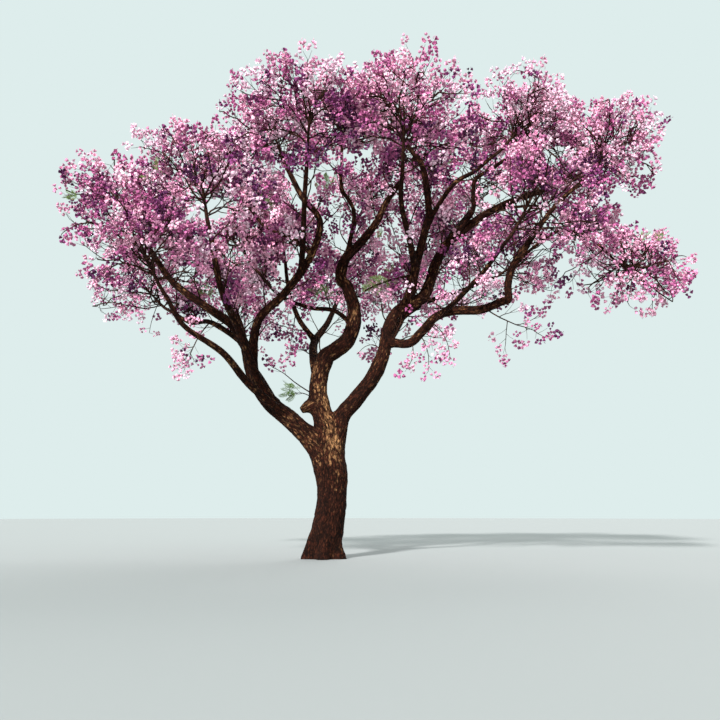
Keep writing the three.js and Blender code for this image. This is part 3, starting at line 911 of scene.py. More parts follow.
def patches(*rows: tuple[float, float, float]) -> tuple[Patch, ...]:
    """Makes patches of their places and radii."""
    return tuple(Patch(*row) for row in rows)


def shows(group: tuple[Patch, ...], point: Array) -> bool:
    """True if the eye sees a point in one of a group of patches."""
    place = seen(point)
    return any(patch.holds(place) for patch in group)


DEEP_PATCHES = patches(
    (2.3, 13.0, 0.35), (-0.9, 13.2, 0.35), (3.5, 12.2, 0.35), (4.25, 10.75, 0.4), (4.25, 9.95, 0.4),
    (5.4, 12.65, 0.4), (-1.3, 12.6, 0.4), (7.2, 12.3, 0.45), (-4.4, 10.2, 0.45), (-3.2, 8.6, 0.35),
    (0.2, 10.6, 0.35),
)
GREEN_PATCHES = patches(
    (1.28, 10.15, 0.35), (4.6, 7.7, 0.3), (6.2, 9.2, 0.4), (-4.2, 8.3, 0.35), (3.6, 12.9, 0.35),
)
SKY_PATCHES = patches(
    (-0.8, 11.75, 0.5), (1.45, 12.95, 0.4), (-0.85, 9.45, 0.45), (-0.3, 7.25, 0.75), (2.2, 10.25, 0.35),
    (2.2, 9.6, 0.3), (4.5, 12.4, 0.36), (5.25, 11.95, 0.38), (-0.3, 12.2, 0.4), (-0.05, 12.75, 0.3),
    (0.78, 12.8, 0.36), (0.42, 11.3, 0.38), (0.07, 10.65, 0.3), (0.5, 10.1, 0.3), (5.9, 11.4, 0.4),
    (6.6, 11.1, 0.4), (7.4, 10.7, 0.35), (4.4, 10.9, 0.25), (3.9, 8.4, 0.35), (-2.9, 9.7, 0.4),
    (7.0, 9.9, 0.35), (-4.6, 9.0, 0.35), (-3.6, 11.2, 0.4), (7.6, 13.1, 0.4),
)

# The boughs that the photograph shows clear in front of the blossom
SHOWN_LIMBS = {f"bough_{name}" for name in (
    "left", "left_outer", "left_top", "upright_middle", "upright_upper", "side_left", "right", "right_outer",
    "right_inner", "inner_left", "right_hook", "low_right", "low_right_outer",
)}


@dataclass(frozen=True)
class Wisp:
    """A thin branch that the photograph shows by itself: its line, end radii, twigs, and what they bear."""

    line: tuple[Point, ...]
    radii: Span
    twigs: int
    from_share: float
    leafy: bool = False


WISPS = (
    # Above the stump on the upright bough, out to the left, with a tuft of leaves under it
    Wisp(((-0.3, -0.05, 5.0), (-0.58, -0.14, 5.16), (-0.95, -0.22, 5.4), (-1.3, -0.3, 5.68),
          (-1.65, -0.36, 5.86)), (0.022, 0.01), 4, 0.7),
    Wisp(((-0.4, -0.1, 4.95), (-0.72, -0.22, 5.06), (-1.0, -0.3, 5.0), (-1.2, -0.36, 4.8)),
         (0.016, 0.008), 14, 0.35, True),
    # Out of the upright bough's elbow, forked
    Wisp(((-0.1, 0.05, 6.2), (-0.19, 0.0, 6.55), (-0.2, -0.03, 7.0), (-0.4, -0.1, 7.4),
          (-0.56, -0.13, 7.75)), (0.022, 0.009), 4, 0.6),
    Wisp(((-0.2, -0.02, 6.9), (-0.08, 0.0, 7.2), (0.07, 0.02, 7.45), (0.29, 0.05, 7.8)),
         (0.015, 0.009), 4, 0.6),
    # Hanging from the side bough at the left
    Wisp(((-1.0, 0.58, 8.15), (-1.03, 0.45, 7.6), (-1.12, 0.36, 7.0), (-1.17, 0.3, 6.35)),
         (0.02, 0.007), 12, 0.3),
    # The mossy one between the upright and the right bough, and the long bare one above it
    Wisp(((2.8, -0.3, 8.85), (2.3, -0.35, 8.75), (1.75, -0.4, 8.56), (1.25, -0.45, 8.3)),
         (0.05, 0.028), 14, 0.25, True),
    Wisp(((2.78, -0.4, 8.7), (2.4, -0.5, 9.6), (2.05, -0.55, 10.6), (1.75, -0.55, 11.0)),
         (0.022, 0.011), 4, 0.8),
    # Hanging under the right bough's two lowest forks
    Wisp(((1.8, -0.24, 6.4), (1.55, -0.2, 6.6), (1.25, -0.15, 6.55), (1.0, -0.12, 6.3)),
         (0.018, 0.007), 7, 0.35),
    Wisp(((2.65, -0.45, 6.65), (2.75, -0.6, 6.45), (2.72, -0.7, 6.1), (2.6, -0.75, 5.8)),
         (0.016, 0.007), 5, 0.3),
    Wisp(((2.95, -0.55, 6.9), (3.1, -0.66, 6.6), (3.22, -0.72, 6.15), (3.2, -0.75, 5.65)),
         (0.018, 0.007), 7, 0.2),
    Wisp(((3.35, -0.75, 7.2), (3.62, -0.82, 6.9), (3.8, -0.88, 6.5), (3.86, -0.9, 6.1)),
         (0.018, 0.007), 7, 0.2),
)


@dataclass
class Crown:
    """Everything that grows on from the limbs: branches, shoots and twigs, with sprays at their ends."""

    limbs: list[Limb]
    seed: int = 7
    # The orders of growth, and how each stands to what carries it
    shoots: Order = Order((0.16, 1.0), 8, 1.5, (1.15, 0.7), 0.35, 0.05, 5, (0.014, 0.008))
    twigs: Order = Order((0.3, 1.0), 5, 1.1, (0.4, 0.26), 0.3, 0.04, 2, (0.007, 0.004))
    sprouts: Order = Order((0.3, 0.98), 5, 1.4, (0.7, 0.45), 0.5, 0.05, 6, (0.024, 0.012))
    wander_turn: float = 0.5  # how far a line turns as it wanders
    turn_stray: float = 0.3  # how unevenly they turn round their carrier
    varied: Span = (0.7, 1.3)  # the least and the most of a lean and a length
    lean_fade: float = 0.6  # how much less the last leans out than the first
    shortened: tuple[float, ...] = (1, 0.75, 0.5, 0.3)  # a shoot's tries to fit
    # A mass's branches, beside the stem that they leave
    extra_branches: int = 9
    extra_seed: int = 100
    stem_joints: int = 8
    stem_sunk: float = 0.3  # in its bough's tip, in joints
    branch_joints: int = 8
    branch_bow: float = 0.3  # how far it follows the stem before it bends over
    branch_aim: float = 0.3
    branch_swing: float = 0.055
    branch_wander: float = 0.018
    # The thin branches along a bough, and how they set out
    sprout_spacing: float = 0.75
    sprout_places: Span = (0.2, 0.8)
    sprout_lengths: Span = (0.8, 1.7)
    sprout_height: float = 6.6  # there are none below
    sprout_girth: float = 0.24  # nor on a thicker bough
    sprout_lean: float = 1.3
    sprout_ahead: float = 0.6
    sprout_rise: float = 0.3
    wisp_joints: int = 8
    wisp_twig_share: float = 0.6
    # How a spray points: on from its twig, out from its mass and upwards
    spray_length: float = 0.3
    spray_sizes: Span = (0.8, 1.2)
    spray_ahead: float = 0.6
    spray_out: float = 0.4
    spray_rise: float = 0.35
    spray_stray: float = 0.3
    spray_middle: float = 0.15
    tuft: int = 3  # leaves at a green twig's end
    tuft_stray: float = 0.6
    leaf_sizes: Span = (0.7, 1.1)
    # Where it may grow
    clearance: float = 0.13
    wood_spacing: float = 0.1
    rim_reach: float = 1.03
    rim_swell: float = 0.3
    rim_size: float = 1.4
    gap_size: float = 1.15
    gap_level: float = -0.31
    gap_sureness: float = 0.94  # how seldom it grows where the photograph shows sky
    bare_share: float = 0.45  # how often a shoot in a gap stays, without its twigs
    bare_reach: float = 0.75
    bared_margin: float = 0.17  # round a bough that shows
    bared_share: float = 0.92
    # Its colours
    green_share: float = 0.004
    green_patch_share: float = 0.3
    region_size: float = 1.05
    region_octaves: int = 2
    patch_depth: float = 0.7
    depth_spread: float = 0.2

    def __post_init__(self) -> None:
        """Sets out the masses and what they must stay clear of."""
        bearing = [limb for limb in self.limbs if limb.plan.reach]
        self.masses = [Mass(limb, i + 1) for i, limb in enumerate(bearing)]
        for mass in self.masses:
            mass.meet(self.masses)
        self.rng = np.random.default_rng(self.seed)
        # What has grown
        self.stems: list[Shoot] = []
        self.branches: list[Shoot] = []
        self.side_branches: list[Shoot] = []
        self.wisps: list[Shoot] = []
        self.leafed: list[Shoot] = []
        self.twiglets: list[Shoot] = []
        self.sprays: list[Spray] = []
        self.leaves: list[Spray] = []
        stops = [(limb, limb.stops(self.wood_spacing)) for limb in self.limbs]
        self.wood = np.vstack([limb.route.points(shares) for limb, shares in stops])
        self.girths = np.concatenate([limb.radii(shares) for limb, shares in stops])
        shown = [np.full(len(shares), limb.plan.name in SHOWN_LIMBS) for limb, shares in stops]
        self.wood_tree = searched(self.wood, np.arange(len(self.wood)))
        self.shown_tree = searched(seen(self.wood), np.nonzero(np.concatenate(shown))[0])

    def hides(self, point: Array) -> bool:
        """True if a spray at a point would hide a bough that the photograph shows."""
        _, index, distance = self.shown_tree.find(seen(point))
        return point[1] < self.wood[index, 1] and distance < self.girths[index] + self.bared_margin

    def clear(self, point: Array) -> bool:
        """True if a spray at a point keeps clear of the trunk and boughs."""
        _, index, distance = self.wood_tree.find(point)
        return distance > self.girths[index] + self.clearance

    @staticmethod
    def boxed(point: Array) -> bool:
        """True if a point lies in the solids' box, or within the margin round it."""
        low, high = (np.array(corner) for corner in CAD_BOX)
        return bool(((point > low - BOX_MARGIN) & (point < high + BOX_MARGIN)).all())

    def chance(self, share: float) -> bool:
        """True as often as the share says."""
        return self.rng.random() < share

    def line(self, start: Array, way: Array, length: float, order: Order) -> Array:
        """A wandering line that bends upwards as it goes.

        Args:
            start: Its first point.
            way: The direction it sets out in.
            length: Its length.
            order: The order of growth that it belongs to.

        Returns:
            Its points.
        """
        points = [start]
        step = length / order.joints
        wander = self.rng.normal(0, order.wander * length, (order.joints, 3))
        for i in range(order.joints):
            way = unit(way + UP * order.lift / order.joints + wander[i] / step * self.wander_turn)
            points.append(points[-1] + way * step)
        return np.array(points)

    def side_ways(self, carrier: Shoot, order: Order) -> list[tuple[float, Array, Array, float]]:
        """Where the next order leaves its carrier: by the golden turn round it, leaning out.

        Args:
            carrier: The shoot that carries it.
            order: The order that grows.

        Returns:
            For each new shoot its place along the carrier, its start, its direction and its length.
        """
        found = []
        turn = self.rng.random() * FULL_TURN
        for i in range(order.count):
            share = i / max(order.count - 1, 1)
            place = lerp(order.starts, share)
            start, along = carrier.at(place)
            turn += GOLDEN_TURN + self.rng.normal(0, self.turn_stray)
            lean = order.lean * self.rng.uniform(*self.varied) * (1 - self.lean_fade * share)
            way = unit(sideways(along, turn, lean) + along)
            length = lerp(order.lengths, share) * self.rng.uniform(*self.varied)
            found.append((place, start, way, length))
        return found

    def sided(self, carrier: Shoot, mass: Mass | None, order: Order) -> Shoot | None:
        """Grows shoots from a carrier.

        Args:
            carrier: The branch or sprout that carries them.
            mass: The mass that they grow in, if any.
            order: Their order of growth.

        Returns:
            The carrier, ended where the last of them leaves it, or None if none grew.
        """
        sides = self.side_ways(carrier, order)
        grown = [place for place, *side in sides if self.grow_shoot(mass, *side)]
        return carrier.cut(grown[-1]) if grown else None

    def grow(self) -> None:
        """Grows every mass, the sprouts along the boughs under them, and the photograph's wisps."""
        for mass in self.masses:
            self.grow_mass(mass)
        for limb in self.limbs:
            self.grow_sprouts(limb)
        for wisp in WISPS:
            self.grow_wisp(wisp)

    def grow_wisp(self, wisp: Wisp) -> None:
        """Grows one of the photograph's thin branches, with twigs of its own."""
        line = Route([np.array(knot) for knot in wisp.line]).points(np.linspace(0, 1, self.wisp_joints + 1))
        grown = Shoot(line, wisp.radii)
        self.wisps.append(grown)
        order = replace(self.twigs, starts=(wisp.from_share, 1.0), count=wisp.twigs)
        for _, start, way, length in self.side_ways(grown, order):
            self.grow_twig(None, start, way, length * self.wisp_twig_share, line[0], 0.0, wisp.leafy)

    def grow_sprouts(self, limb: Limb) -> None:
        """Grows thin side branches along a bough, where it is in the crown and not too thick for them."""
        places = int(limb.route.length / self.sprout_spacing)
        turn = self.rng.random() * FULL_TURN
        for i in range(places):
            share = (i + self.rng.uniform(*self.sprout_places)) / places
            start, along = limb.route.points(share)[0], limb.route.tangents(share)[0]
            turn += GOLDEN_TURN
            if start[2] < self.sprout_height or limb.radii(share) > self.sprout_girth:
                continue
            out = sideways(along, turn, self.sprout_lean)
            way = unit(out + along * self.sprout_ahead + UP * self.sprout_rise)
            length = self.rng.uniform(*self.sprout_lengths)
            sprout = Shoot(self.line(start, way, length, self.sprouts), self.sprouts.radii)
            if not self.boxed(sprout.points[-1]) or not self.clear(sprout.points[-1]):
                continue
            kept = self.sided(sprout, None, self.sprouts)
            if kept:
                self.side_branches.append(kept)

    def grow_mass(self, mass: Mass) -> None:
        """Grows one mass: its stem, the source's branches and more by the same rule, shoots and twigs."""
        stem = Shoot(mass.stem.points(np.linspace(0, 1, self.stem_joints + 1)), mass.stem_radii)
        stem.points[0] -= (stem.points[1] - stem.points[0]) * self.stem_sunk
        self.stems.append(stem)
        ends = mass.branch_ends(BRANCHES, mass.random)
        ends += mass.branch_ends(self.extra_branches, Seeded(len(self.stems) + self.extra_seed))
        for share, tip in ends:
            kept = self.sided(self.branch(mass, share, tip), mass, self.shoots)
            if kept:
                self.branches.append(kept)

    def branch(self, mass: Mass, share: float, tip: Array) -> Shoot:
        """One branch, which leaves the stem near its own direction and bends over to its tip.

        Args:
            mass: The mass that it grows in.
            share: Where it leaves the stem, as a share of the stem's length.
            tip: Where it ends.

        Returns:
            The branch.
        """
        start, along = mass.stem.points(share)[0], mass.stem.tangents(share)[0]
        span = np.linalg.norm(tip - start)
        bend = start + (along * self.branch_bow + unit(tip - start) * self.branch_aim) * span
        t = np.linspace(0, 1, self.branch_joints + 1)[:, None]
        points = start * (1 - t) ** 2 + bend * 2 * t * (1 - t) + tip * t**2
        for turn in (math.pi, FULL_TURN):
            points += np.sin(turn * t) * self.rng.normal(0, self.branch_swing * span, 3)
        wander = self.rng.normal(0, self.branch_wander * span, points.shape)
        wander[0] = 0
        return Shoot(points + wander, BRANCH_RADII)

    def fits(self, mass: Mass | None, point: Array) -> bool:
        """True if a tip stays in its mass's space and the box, and clear of the boughs."""
        swell = self.rim_reach + self.rim_swell * noise.noise(Vector(point) / self.rim_size)
        held = mass is None or mass.holds(point, swell)
        return held and self.boxed(point) and self.clear(point)

    def grow_shoot(self, mass: Mass | None, start: Array, way: Array, length: float) -> bool:
        """One shoot with its twigs, where it fits; where the sky shows through, it is bare or left out.

        Args:
            mass: The mass that it grows in, if any.
            start: Where it starts.
            way: The direction it sets out in.
            length: Its length, which is cut short where that makes it fit.

        Returns:
            True if it grew.
        """
        tries = (self.line(start, way, length * share, self.shoots) for share in self.shortened)
        points = next((points for points in tries if self.fits(mass, points[-1])), None)
        if points is None:
            return False
        shoot = Shoot(points, self.shoots.radii)
        tip = points[-1]
        if self.open_at(tip):
            inside = mass is not None and math.dist(tip, mass.centre) < self.bare_reach * mass.reach
            bare = inside and self.chance(self.bare_share)
            if bare:
                self.leafed.append(shoot)
            return bare
        centre = points[0] if mass is None else mass.centre
        depth, green = self.depth_at(tip), self.greens(tip)
        sides = self.side_ways(shoot, self.twigs)
        grown = [place for place, *side in sides if self.grow_twig(mass, *side, centre, depth, green)]
        if grown:
            self.leafed.append(shoot.cut(grown[-1]))
        return bool(grown)

    def grow_twig(
        self, mass: Mass | None, start: Array, way: Array, length: float, centre: Array, depth: float,
        green: bool,
    ) -> bool:
        """One twig with its spray or its leaves, where they fit.

        Args:
            mass: The mass that it grows in, if any.
            start: Where it starts.
            way: The direction it sets out in.
            length: Its length.
            centre: What the spray turns away from.
            depth: How deep its shoot's blossom is in colour.
            green: True if it bears leaves.

        Returns:
            True if it grew.
        """
        twig = Shoot(self.line(start, way, length, self.twigs), self.twigs.radii)
        end, along = twig.at(1)
        outward = along * self.spray_ahead + unit(end - centre) * self.spray_out
        axis = unit(outward + UP * self.spray_rise + self.rng.normal(0, self.spray_stray, 3))
        size = self.rng.uniform(*self.spray_sizes)
        tip = end + axis * self.spray_length * size
        if not self.fits(mass, tip) or not self.boxed(end) or not self.clear(end + axis * self.spray_middle):
            return False
        ends = (end, tip)
        if any(self.hides(place) for place in ends) and self.chance(self.bared_share):
            return False
        if mass and any(shows(SKY_PATCHES, place) for place in ends) and self.chance(self.gap_sureness):
            return False
        self.twiglets.append(twig)
        if not green:
            self.sprays.append(Spray(end, axis, size, depth + self.rng.normal(0, self.depth_spread)))
            return True
        for _ in range(self.tuft):
            spread = unit(axis + self.rng.normal(0, self.tuft_stray, 3))
            size = self.rng.uniform(*self.leaf_sizes)
            if self.boxed(end + spread * self.spray_length * size):
                self.leaves.append(Spray(end, spread, size))
        return True

    def open_at(self, point: Array) -> bool:
        """True where the crown lets the sky through: as the photograph shows, or elsewhere by chance."""
        if shows(SKY_PATCHES, point):
            return self.chance(self.gap_sureness)
        return noise.noise(Vector(point) / self.gap_size) < self.gap_level

    def greens(self, point: Array) -> bool:
        """True where a shoot carries young leaves in place of blossom."""
        return self.chance(self.green_patch_share if shows(GREEN_PATCHES, point) else self.green_share)

    def depth_at(self, point: Array) -> float:
        """How deep a shoot's blossom is in colour: by region, and most in the photograph's deep patches."""
        place = Vector(point) / self.region_size
        region = noise.fractal(place, NOISE_FALLOFF, NOISE_SCALING, self.region_octaves)
        deep = shows(DEEP_PATCHES, point)
        return region + deep * self.patch_depth + self.rng.normal(0, self.depth_spread)

    def dealt(self) -> dict[Tint, list[Spray]]:
        """Deals the sprays out among the tints by their depth of colour, each tint taking its share."""
        ranked = sorted(self.sprays, key=lambda spray: spray.depth)
        dealt, start = {}, 0.0
        for tint in Tint:
            first, last = (round(len(ranked) * place) for place in (start, start + tint.share))
            dealt[tint] = ranked[first:last]
            start += tint.share
        return dealt


def joined(name: str, shape: Shape) -> bpy.types.Object:
    """Puts arrays of corners and faces in one mesh object.

    Args:
        name: The piece's name.
        shape: The corners and faces.

    Returns:
        The piece, linked to the scene.
    """
    corners, faces = shape
    loops = np.concatenate([group.ravel() for group in faces]).astype(np.int32)
    sizes = np.concatenate([np.full(len(group), group.shape[1]) for group in faces])
    starts = np.concatenate([[0], np.cumsum(sizes)[:-1]]).astype(np.int32)
    mesh = bpy.data.meshes.new(name)
    mesh.vertices.add(len(corners))
    mesh.vertices.foreach_set("co", corners.astype(np.float32).ravel())
    mesh.loops.add(len(loops))
    mesh.loops.foreach_set("vertex_index", loops)
    mesh.polygons.add(len(sizes))
    mesh.polygons.foreach_set("loop_start", starts)
    mesh.update(calc_edges=True)
    mesh.validate()
    return linked(name, mesh)


def together(parts: list[Shape]) -> Shape:
    """Joins several sets of corners and faces into one."""
    corners, faces, count = [], [], 0
    for points, groups in parts:
        corners.append(points)
        faces += [group + count for group in groups]
        count += len(points)
    return np.vstack(corners), faces


def thin_tubes(shoots: list[Shoot], sides: int) -> Shape:
    """Rounds shoots of one order into closed, tapering tubes.

    Args:
        shoots: The shoots, all with the same number of points.
        sides: How many sides each tube has.

    Returns:
        The corners, and the faces of the sides and of the two ends.
    """
    points = np.array([shoot.points for shoot in shoots])
    count, rings = points.shape[:2]
    tangents = unit(np.gradient(points, axis=1))
    shares = np.linspace(0, 1, rings)
    radii = np.array([shoot.radii for shoot in shoots])
    girths = radii[:, :1] * (1 - shares) + radii[:, 1:] * shares
    across = np.empty_like(points)
    last = np.tile(np.array((0.31, 0.87, 0.39)), (count, 1))  # hardly a shoot points this way
    for i in range(rings):
        ahead = tangents[:, i]
        last = unit(last - ahead * (last * ahead).sum(axis=1, keepdims=True))
        across[:, i] = last
    third = np.cross(tangents, across)
    angles = np.arange(sides) * FULL_TURN / sides
    spokes = across[:, :, None] * np.cos(angles)[:, None] + third[:, :, None] * np.sin(angles)[:, None]
    corners = points[:, :, None] + spokes * girths[:, :, None, None]
    place = np.arange(count * rings * sides).reshape(count, rings, sides)
    turned = np.roll(place, -1, axis=2)
    walls = np.stack([place[:, :-1], turned[:, :-1], turned[:, 1:], place[:, 1:]], axis=-1).reshape(-1, 4)
    feet, tips = place[:, 0, ::-1], place[:, -1]
    return corners.reshape(-1, 3), [walls, feet, tips]


@dataclass
class Template:
    """A small shape that is repeated over the crown, with its foot at the origin and its axis along +Z."""

    corners: Array
    faces: list[Array]

    @classmethod
    def from_bmesh(cls, bm: bmesh.types.BMesh) -> "Template":
        """Reads a template off a mesh, and frees the mesh."""
        bm.verts.index_update()
        corners = np.array([vert.co for vert in bm.verts], float)
        groups: dict[int, list[list[int]]] = {}
        for face in bm.faces:
            groups.setdefault(len(face.verts), []).append([vert.index for vert in face.verts])
        bm.free()
        return cls(corners, [np.array(groups[size]) for size in sorted(groups)])

    def placed(self, bases: Array, turns: Array) -> Shape:
        """Repeats the template.

        Args:
            bases: Where each copy's foot lies.
            turns: Each copy's turn and size, as a matrix.

        Returns:
            The corners and faces of all the copies.
        """
        corners = np.einsum("nij,kj->nki", turns, self.corners) + bases[:, None]
        shift = np.arange(len(bases))[:, None, None] * len(self.corners)
        faces = [(group[None] + shift).reshape(-1, group.shape[1]) for group in self.faces]
        return corners.reshape(-1, 3), faces


STEEP = 0.9  # how far up or down a way points where its turn is counted from +X and not from +Z


def turned_to(ways: Array, spins: Array, sizes: Array) -> Array:
    """Matrices that turn +Z to each way.

    Args:
        ways: The directions.
        spins: The angle by which each is spun about its own direction.
        sizes: The size of each.

    Returns:
        A matrix for each.
    """
    ways = unit(ways)
    steep = np.abs(ways[:, 2:]) > STEEP
    aside = np.where(steep, np.array((1.0, 0, 0)), UP)
    first = unit(np.cross(aside, ways))
    second = np.cross(ways, first)
    cos, sin = np.cos(spins)[:, None], np.sin(spins)[:, None]
    across = first * cos + second * sin
    third = second * cos - first * sin
    return np.stack([across, third, ways], axis=2) * sizes[:, None, None]


def set_out(sprays: list[Spray], rng: np.random.Generator) -> tuple[Array, Array]:
    """Where each spray's foot lies, and its turn and size as a matrix, spun by chance."""
    bases = np.array([spray.base for spray in sprays])
    ways = np.array([spray.way for spray in sprays])
    sizes = np.array([spray.size for spray in sprays])
    return bases, turned_to(ways, rng.random(len(sprays)) * FULL_TURN, sizes)


@dataclass
class Panicles:
    """Sprays of jacaranda blossom: flared, five-lobed trumpets set round a stalk, with buds at its end."""

    varieties: int = 10
    length: float = 0.3
    foot_radius: float = 0.11
    tip_radius: float = 0.03
    flowers: tuple[int, int] = (5, 6)
    flower_length: float = 0.092
    flower_width: float = 0.054
    flower_sizes: Span = (0.85, 1.15)
    lobes: int = 5
    notch: float = 0.6  # how far the rim reaches between two lobes
    curl: float = 0.16
    nod: float = 0.15
    rise: float = 0.9  # the most that a trumpet points up
    sunk: float = 0.45  # where a trumpet's foot lies, as a share of the way out to its place
    flowered: float = 0.8  # how far up the stalk they stand
    turn_stray: float = 0.25
    spin: float = 6.0  # the most that a trumpet or bud is spun, in radians
    spread: Span = (0.75, 1.15)  # the least and the most of a trumpet's distance from the stalk
    bud_radius: float = 0.011
    bud_length: float = 0.03  # of its pointed half
    bud_middle: float = 0.035  # how far up that half's middle lies
    bud_places: Span = (0.86, 0.95)
    bud_stray: float = 0.4

    def flower(self) -> Template:
        """One trumpet: a cone from its stalk to five broad lobes that curl back."""
        bm = bmesh.new()
        bmesh.ops.create_cone(
            bm, segments=3 * self.lobes, radius1=self.flower_width, radius2=0, depth=self.flower_length,
            cap_ends=False,
        )
        bmesh.ops.rotate(bm, verts=bm.verts, matrix=Matrix.Rotation(math.pi, 3, "X"))
        bmesh.ops.translate(bm, verts=bm.verts, vec=(0, 0, self.flower_length / 2))
        rim = [vert for vert in bm.verts if vert.co.z > self.flower_length / 2]
        rim.sort(key=lambda vert: math.atan2(vert.co.y, vert.co.x))
        for i, vert in enumerate(rim):
            if i % 3:
                vert.co.z *= 1 - self.curl
            else:
                vert.co.x *= self.notch
                vert.co.y *= self.notch
        return Template.from_bmesh(bm)

    def bud(self) -> Template:
        """One closed bud: a slim spindle of three sides."""
        bm = bmesh.new()
        bmesh.ops.create_cone(
            bm, segments=3, radius1=self.bud_radius, radius2=0, depth=self.bud_length, cap_ends=False,
        )
        bmesh.ops.translate(bm, verts=bm.verts, vec=(0, 0, self.bud_middle))
        rim = [edge for edge in bm.edges if edge.is_boundary]
        drawn = bmesh.ops.extrude_edge_only(bm, edges=rim)["geom"]
        foot = [item for item in drawn if isinstance(item, bmesh.types.BMVert)]
        bmesh.ops.pointmerge(bm, verts=foot, merge_co=(0, 0, 0))
        return Template.from_bmesh(bm)

    def variety(self, rng: np.random.Generator) -> Template:
        """One whole spray."""
        flower, bud = self.flower(), self.bud()
        least, most = self.flowers
        count = int(rng.integers(least, most + 1))
        turn = rng.random() * self.spin
        bases, ways, sizes = [], [], []
        for i in range(count):
            share = (i + 0.5) / count
            turn += GOLDEN_TURN + rng.normal(0, self.turn_stray)
            out = np.array((math.cos(turn), math.sin(turn), 0))
            radius = lerp((self.foot_radius, self.tip_radius), share) * rng.uniform(*self.spread)
            bases.append(out * radius * self.sunk + UP * share * self.length * self.flowered)
            ways.append(out + UP * rng.uniform(-self.nod, self.rise))
            sizes.append(rng.uniform(*self.flower_sizes))
        turns = turned_to(np.array(ways), rng.random(count) * self.spin, np.array(sizes))
        made = flower.placed(np.array(bases), turns)
        tips = np.array([UP * self.length * share for share in self.bud_places])
        lean = UP + rng.normal(0, self.bud_stray, (2, 3))
        buds = bud.placed(tips, turned_to(lean, rng.random(2) * self.spin, np.ones(2)))
        return Template(*together([made, buds]))

    def build(self, sprays: list[Spray], tint: Tint) -> bpy.types.Object:
        """Joins all the sprays of one tint into a piece."""
        rng = np.random.default_rng(len(tint.name) + len(sprays))
        kinds = [self.variety(rng) for _ in range(self.varieties)]
        pick = rng.integers(0, self.varieties, len(sprays))
        bases, turns = set_out(sprays, rng)
        parts = [kind.placed(bases[pick == i], turns[pick == i]) for i, kind in enumerate(kinds)]
        return joined(f"blossom_{tint.name.lower()}", together(parts))


@dataclass
class Leaves:
    """Young jacaranda leaves: an arching midrib with pairs of narrow leaflets."""

    seed: int = 11
    length: float = 0.36
    pairs: int = 9
    leaflet: float = 0.1
    leaflet_sizes: Span = (0.55, 0.45)  # the smallest one's share of that, and what the middle ones add
    leaflet_way: Point = (1.0, 0.1, 0.55)
    fullest: float = 1.05  # the leaflets shrink a little before the tip
    tip_leaflet: float = 0.7  # the one at the tip, its place and its way
    tip_place: float = 0.97
    tip_way: Point = (0.0, 0.3, 0.95)
    leaflet_width: float = 0.021
    leaflet_belly: float = 0.45  # where along its length it is widest
    leaflet_back: Point = (0.0, 1.0, 0.15)  # what its flat side is turned to
    droop: float = 0.22
    arch: float = 0.2
    rib_width: float = 0.007
    rib_joints: int = 3

    def rib(self, share: float) -> Array:
        """A point of the midrib."""
        rise = self.length * share * (1 - self.arch * share)
        return np.array((0, self.droop * self.length * share**2, rise))

    def blade(self, share: float, way: Array, length: float) -> list[Array]:
        """One leaflet, as the four corners of its outline.

        Args:
            share: Where along the midrib it stands.
            way: The direction that it points in.
            length: Its length.

        Returns:
            Its corners.
        """
        foot = self.rib(share)
        half = unit(np.cross(way, np.array(self.leaflet_back))) * self.leaflet_width / 2
        middle = foot + way * length * self.leaflet_belly
        return [foot, middle - half, foot + way * length, middle + half]

    def template(self) -> Template:
        """One leaf."""
        corners = []
        least, more = self.leaflet_sizes
        out, back, up = self.leaflet_way
        for i in range(self.pairs):
            share = (i + 1) / (self.pairs + 0.5)
            swell = math.sin(math.pi * min(share * self.fullest, 1))
            size = self.leaflet * (least + more * swell)
            for side in (-1, 1):
                corners += self.blade(share, unit(np.array((side * out, back, up))), size)
        corners += self.blade(self.tip_place, np.array(self.tip_way), self.leaflet * self.tip_leaflet)
        side = np.array((self.rib_width / 2, 0, 0))
        for i in range(self.rib_joints):
            low, high = self.rib(i / self.rib_joints), self.rib((i + 1) / self.rib_joints)
            corners += [low - side, low + side, high + side, high - side]
        return Template(np.array(corners), [np.arange(len(corners)).reshape(-1, 4)])

    def build(self, sprays: list[Spray]) -> bpy.types.Object:
        """Joins all the leaves into a piece."""
        rng = np.random.default_rng(self.seed)
        return joined("leaves", self.template().placed(*set_out(sprays, rng)))


def linear(colour: str) -> tuple[float, float, float, float]:
    """Turns an sRGB hex colour into the linear one that the shader takes."""
    parts = [int(colour[i : i + 2], 16) / 255 for i in (1, 3, 5)]
    red, green, blue = (p / 12.92 if p <= 0.04045 else ((p + 0.055) / 1.055) ** 2.4 for p in parts)
    return (red, green, blue, 1.0)


def add_node(
    tree: bpy.types.NodeTree, kind: str, *first: Feed, feeds: dict[str | int, Feed] | None = None,
    **settings: str,
) -> bpy.types.bpy_prop_collection:
    """Adds a node with its settings, values and links.

    Args:
        tree: The material's nodes.
        kind: The node's type.
        first: The values or sockets that feed its first sockets, in order.
        feeds: Those that feed its other sockets, by name or number.
        settings: Its own settings by name.

    Returns:
        Its outputs.
    """
    node = tree.nodes.new(kind)
    for name, value in settings.items():
        setattr(node, name, value)
    for name, feed in [*enumerate(first), *(feeds or {}).items()]:
        if isinstance(feed, bpy.types.NodeSocket):
            tree.links.new(feed, node.inputs[name])
        else:
            node.inputs[name].default_value = feed
    return node.outputs


# The node types that are added most, and the sockets of a Mix node that mixes colours
MATHS, RANGE = "ShaderNodeMath", "ShaderNodeMapRange"
MIX, NOISE = "ShaderNodeMix", "ShaderNodeTexNoise"
FIRST, SECOND, RESULT = 6, 7, 2


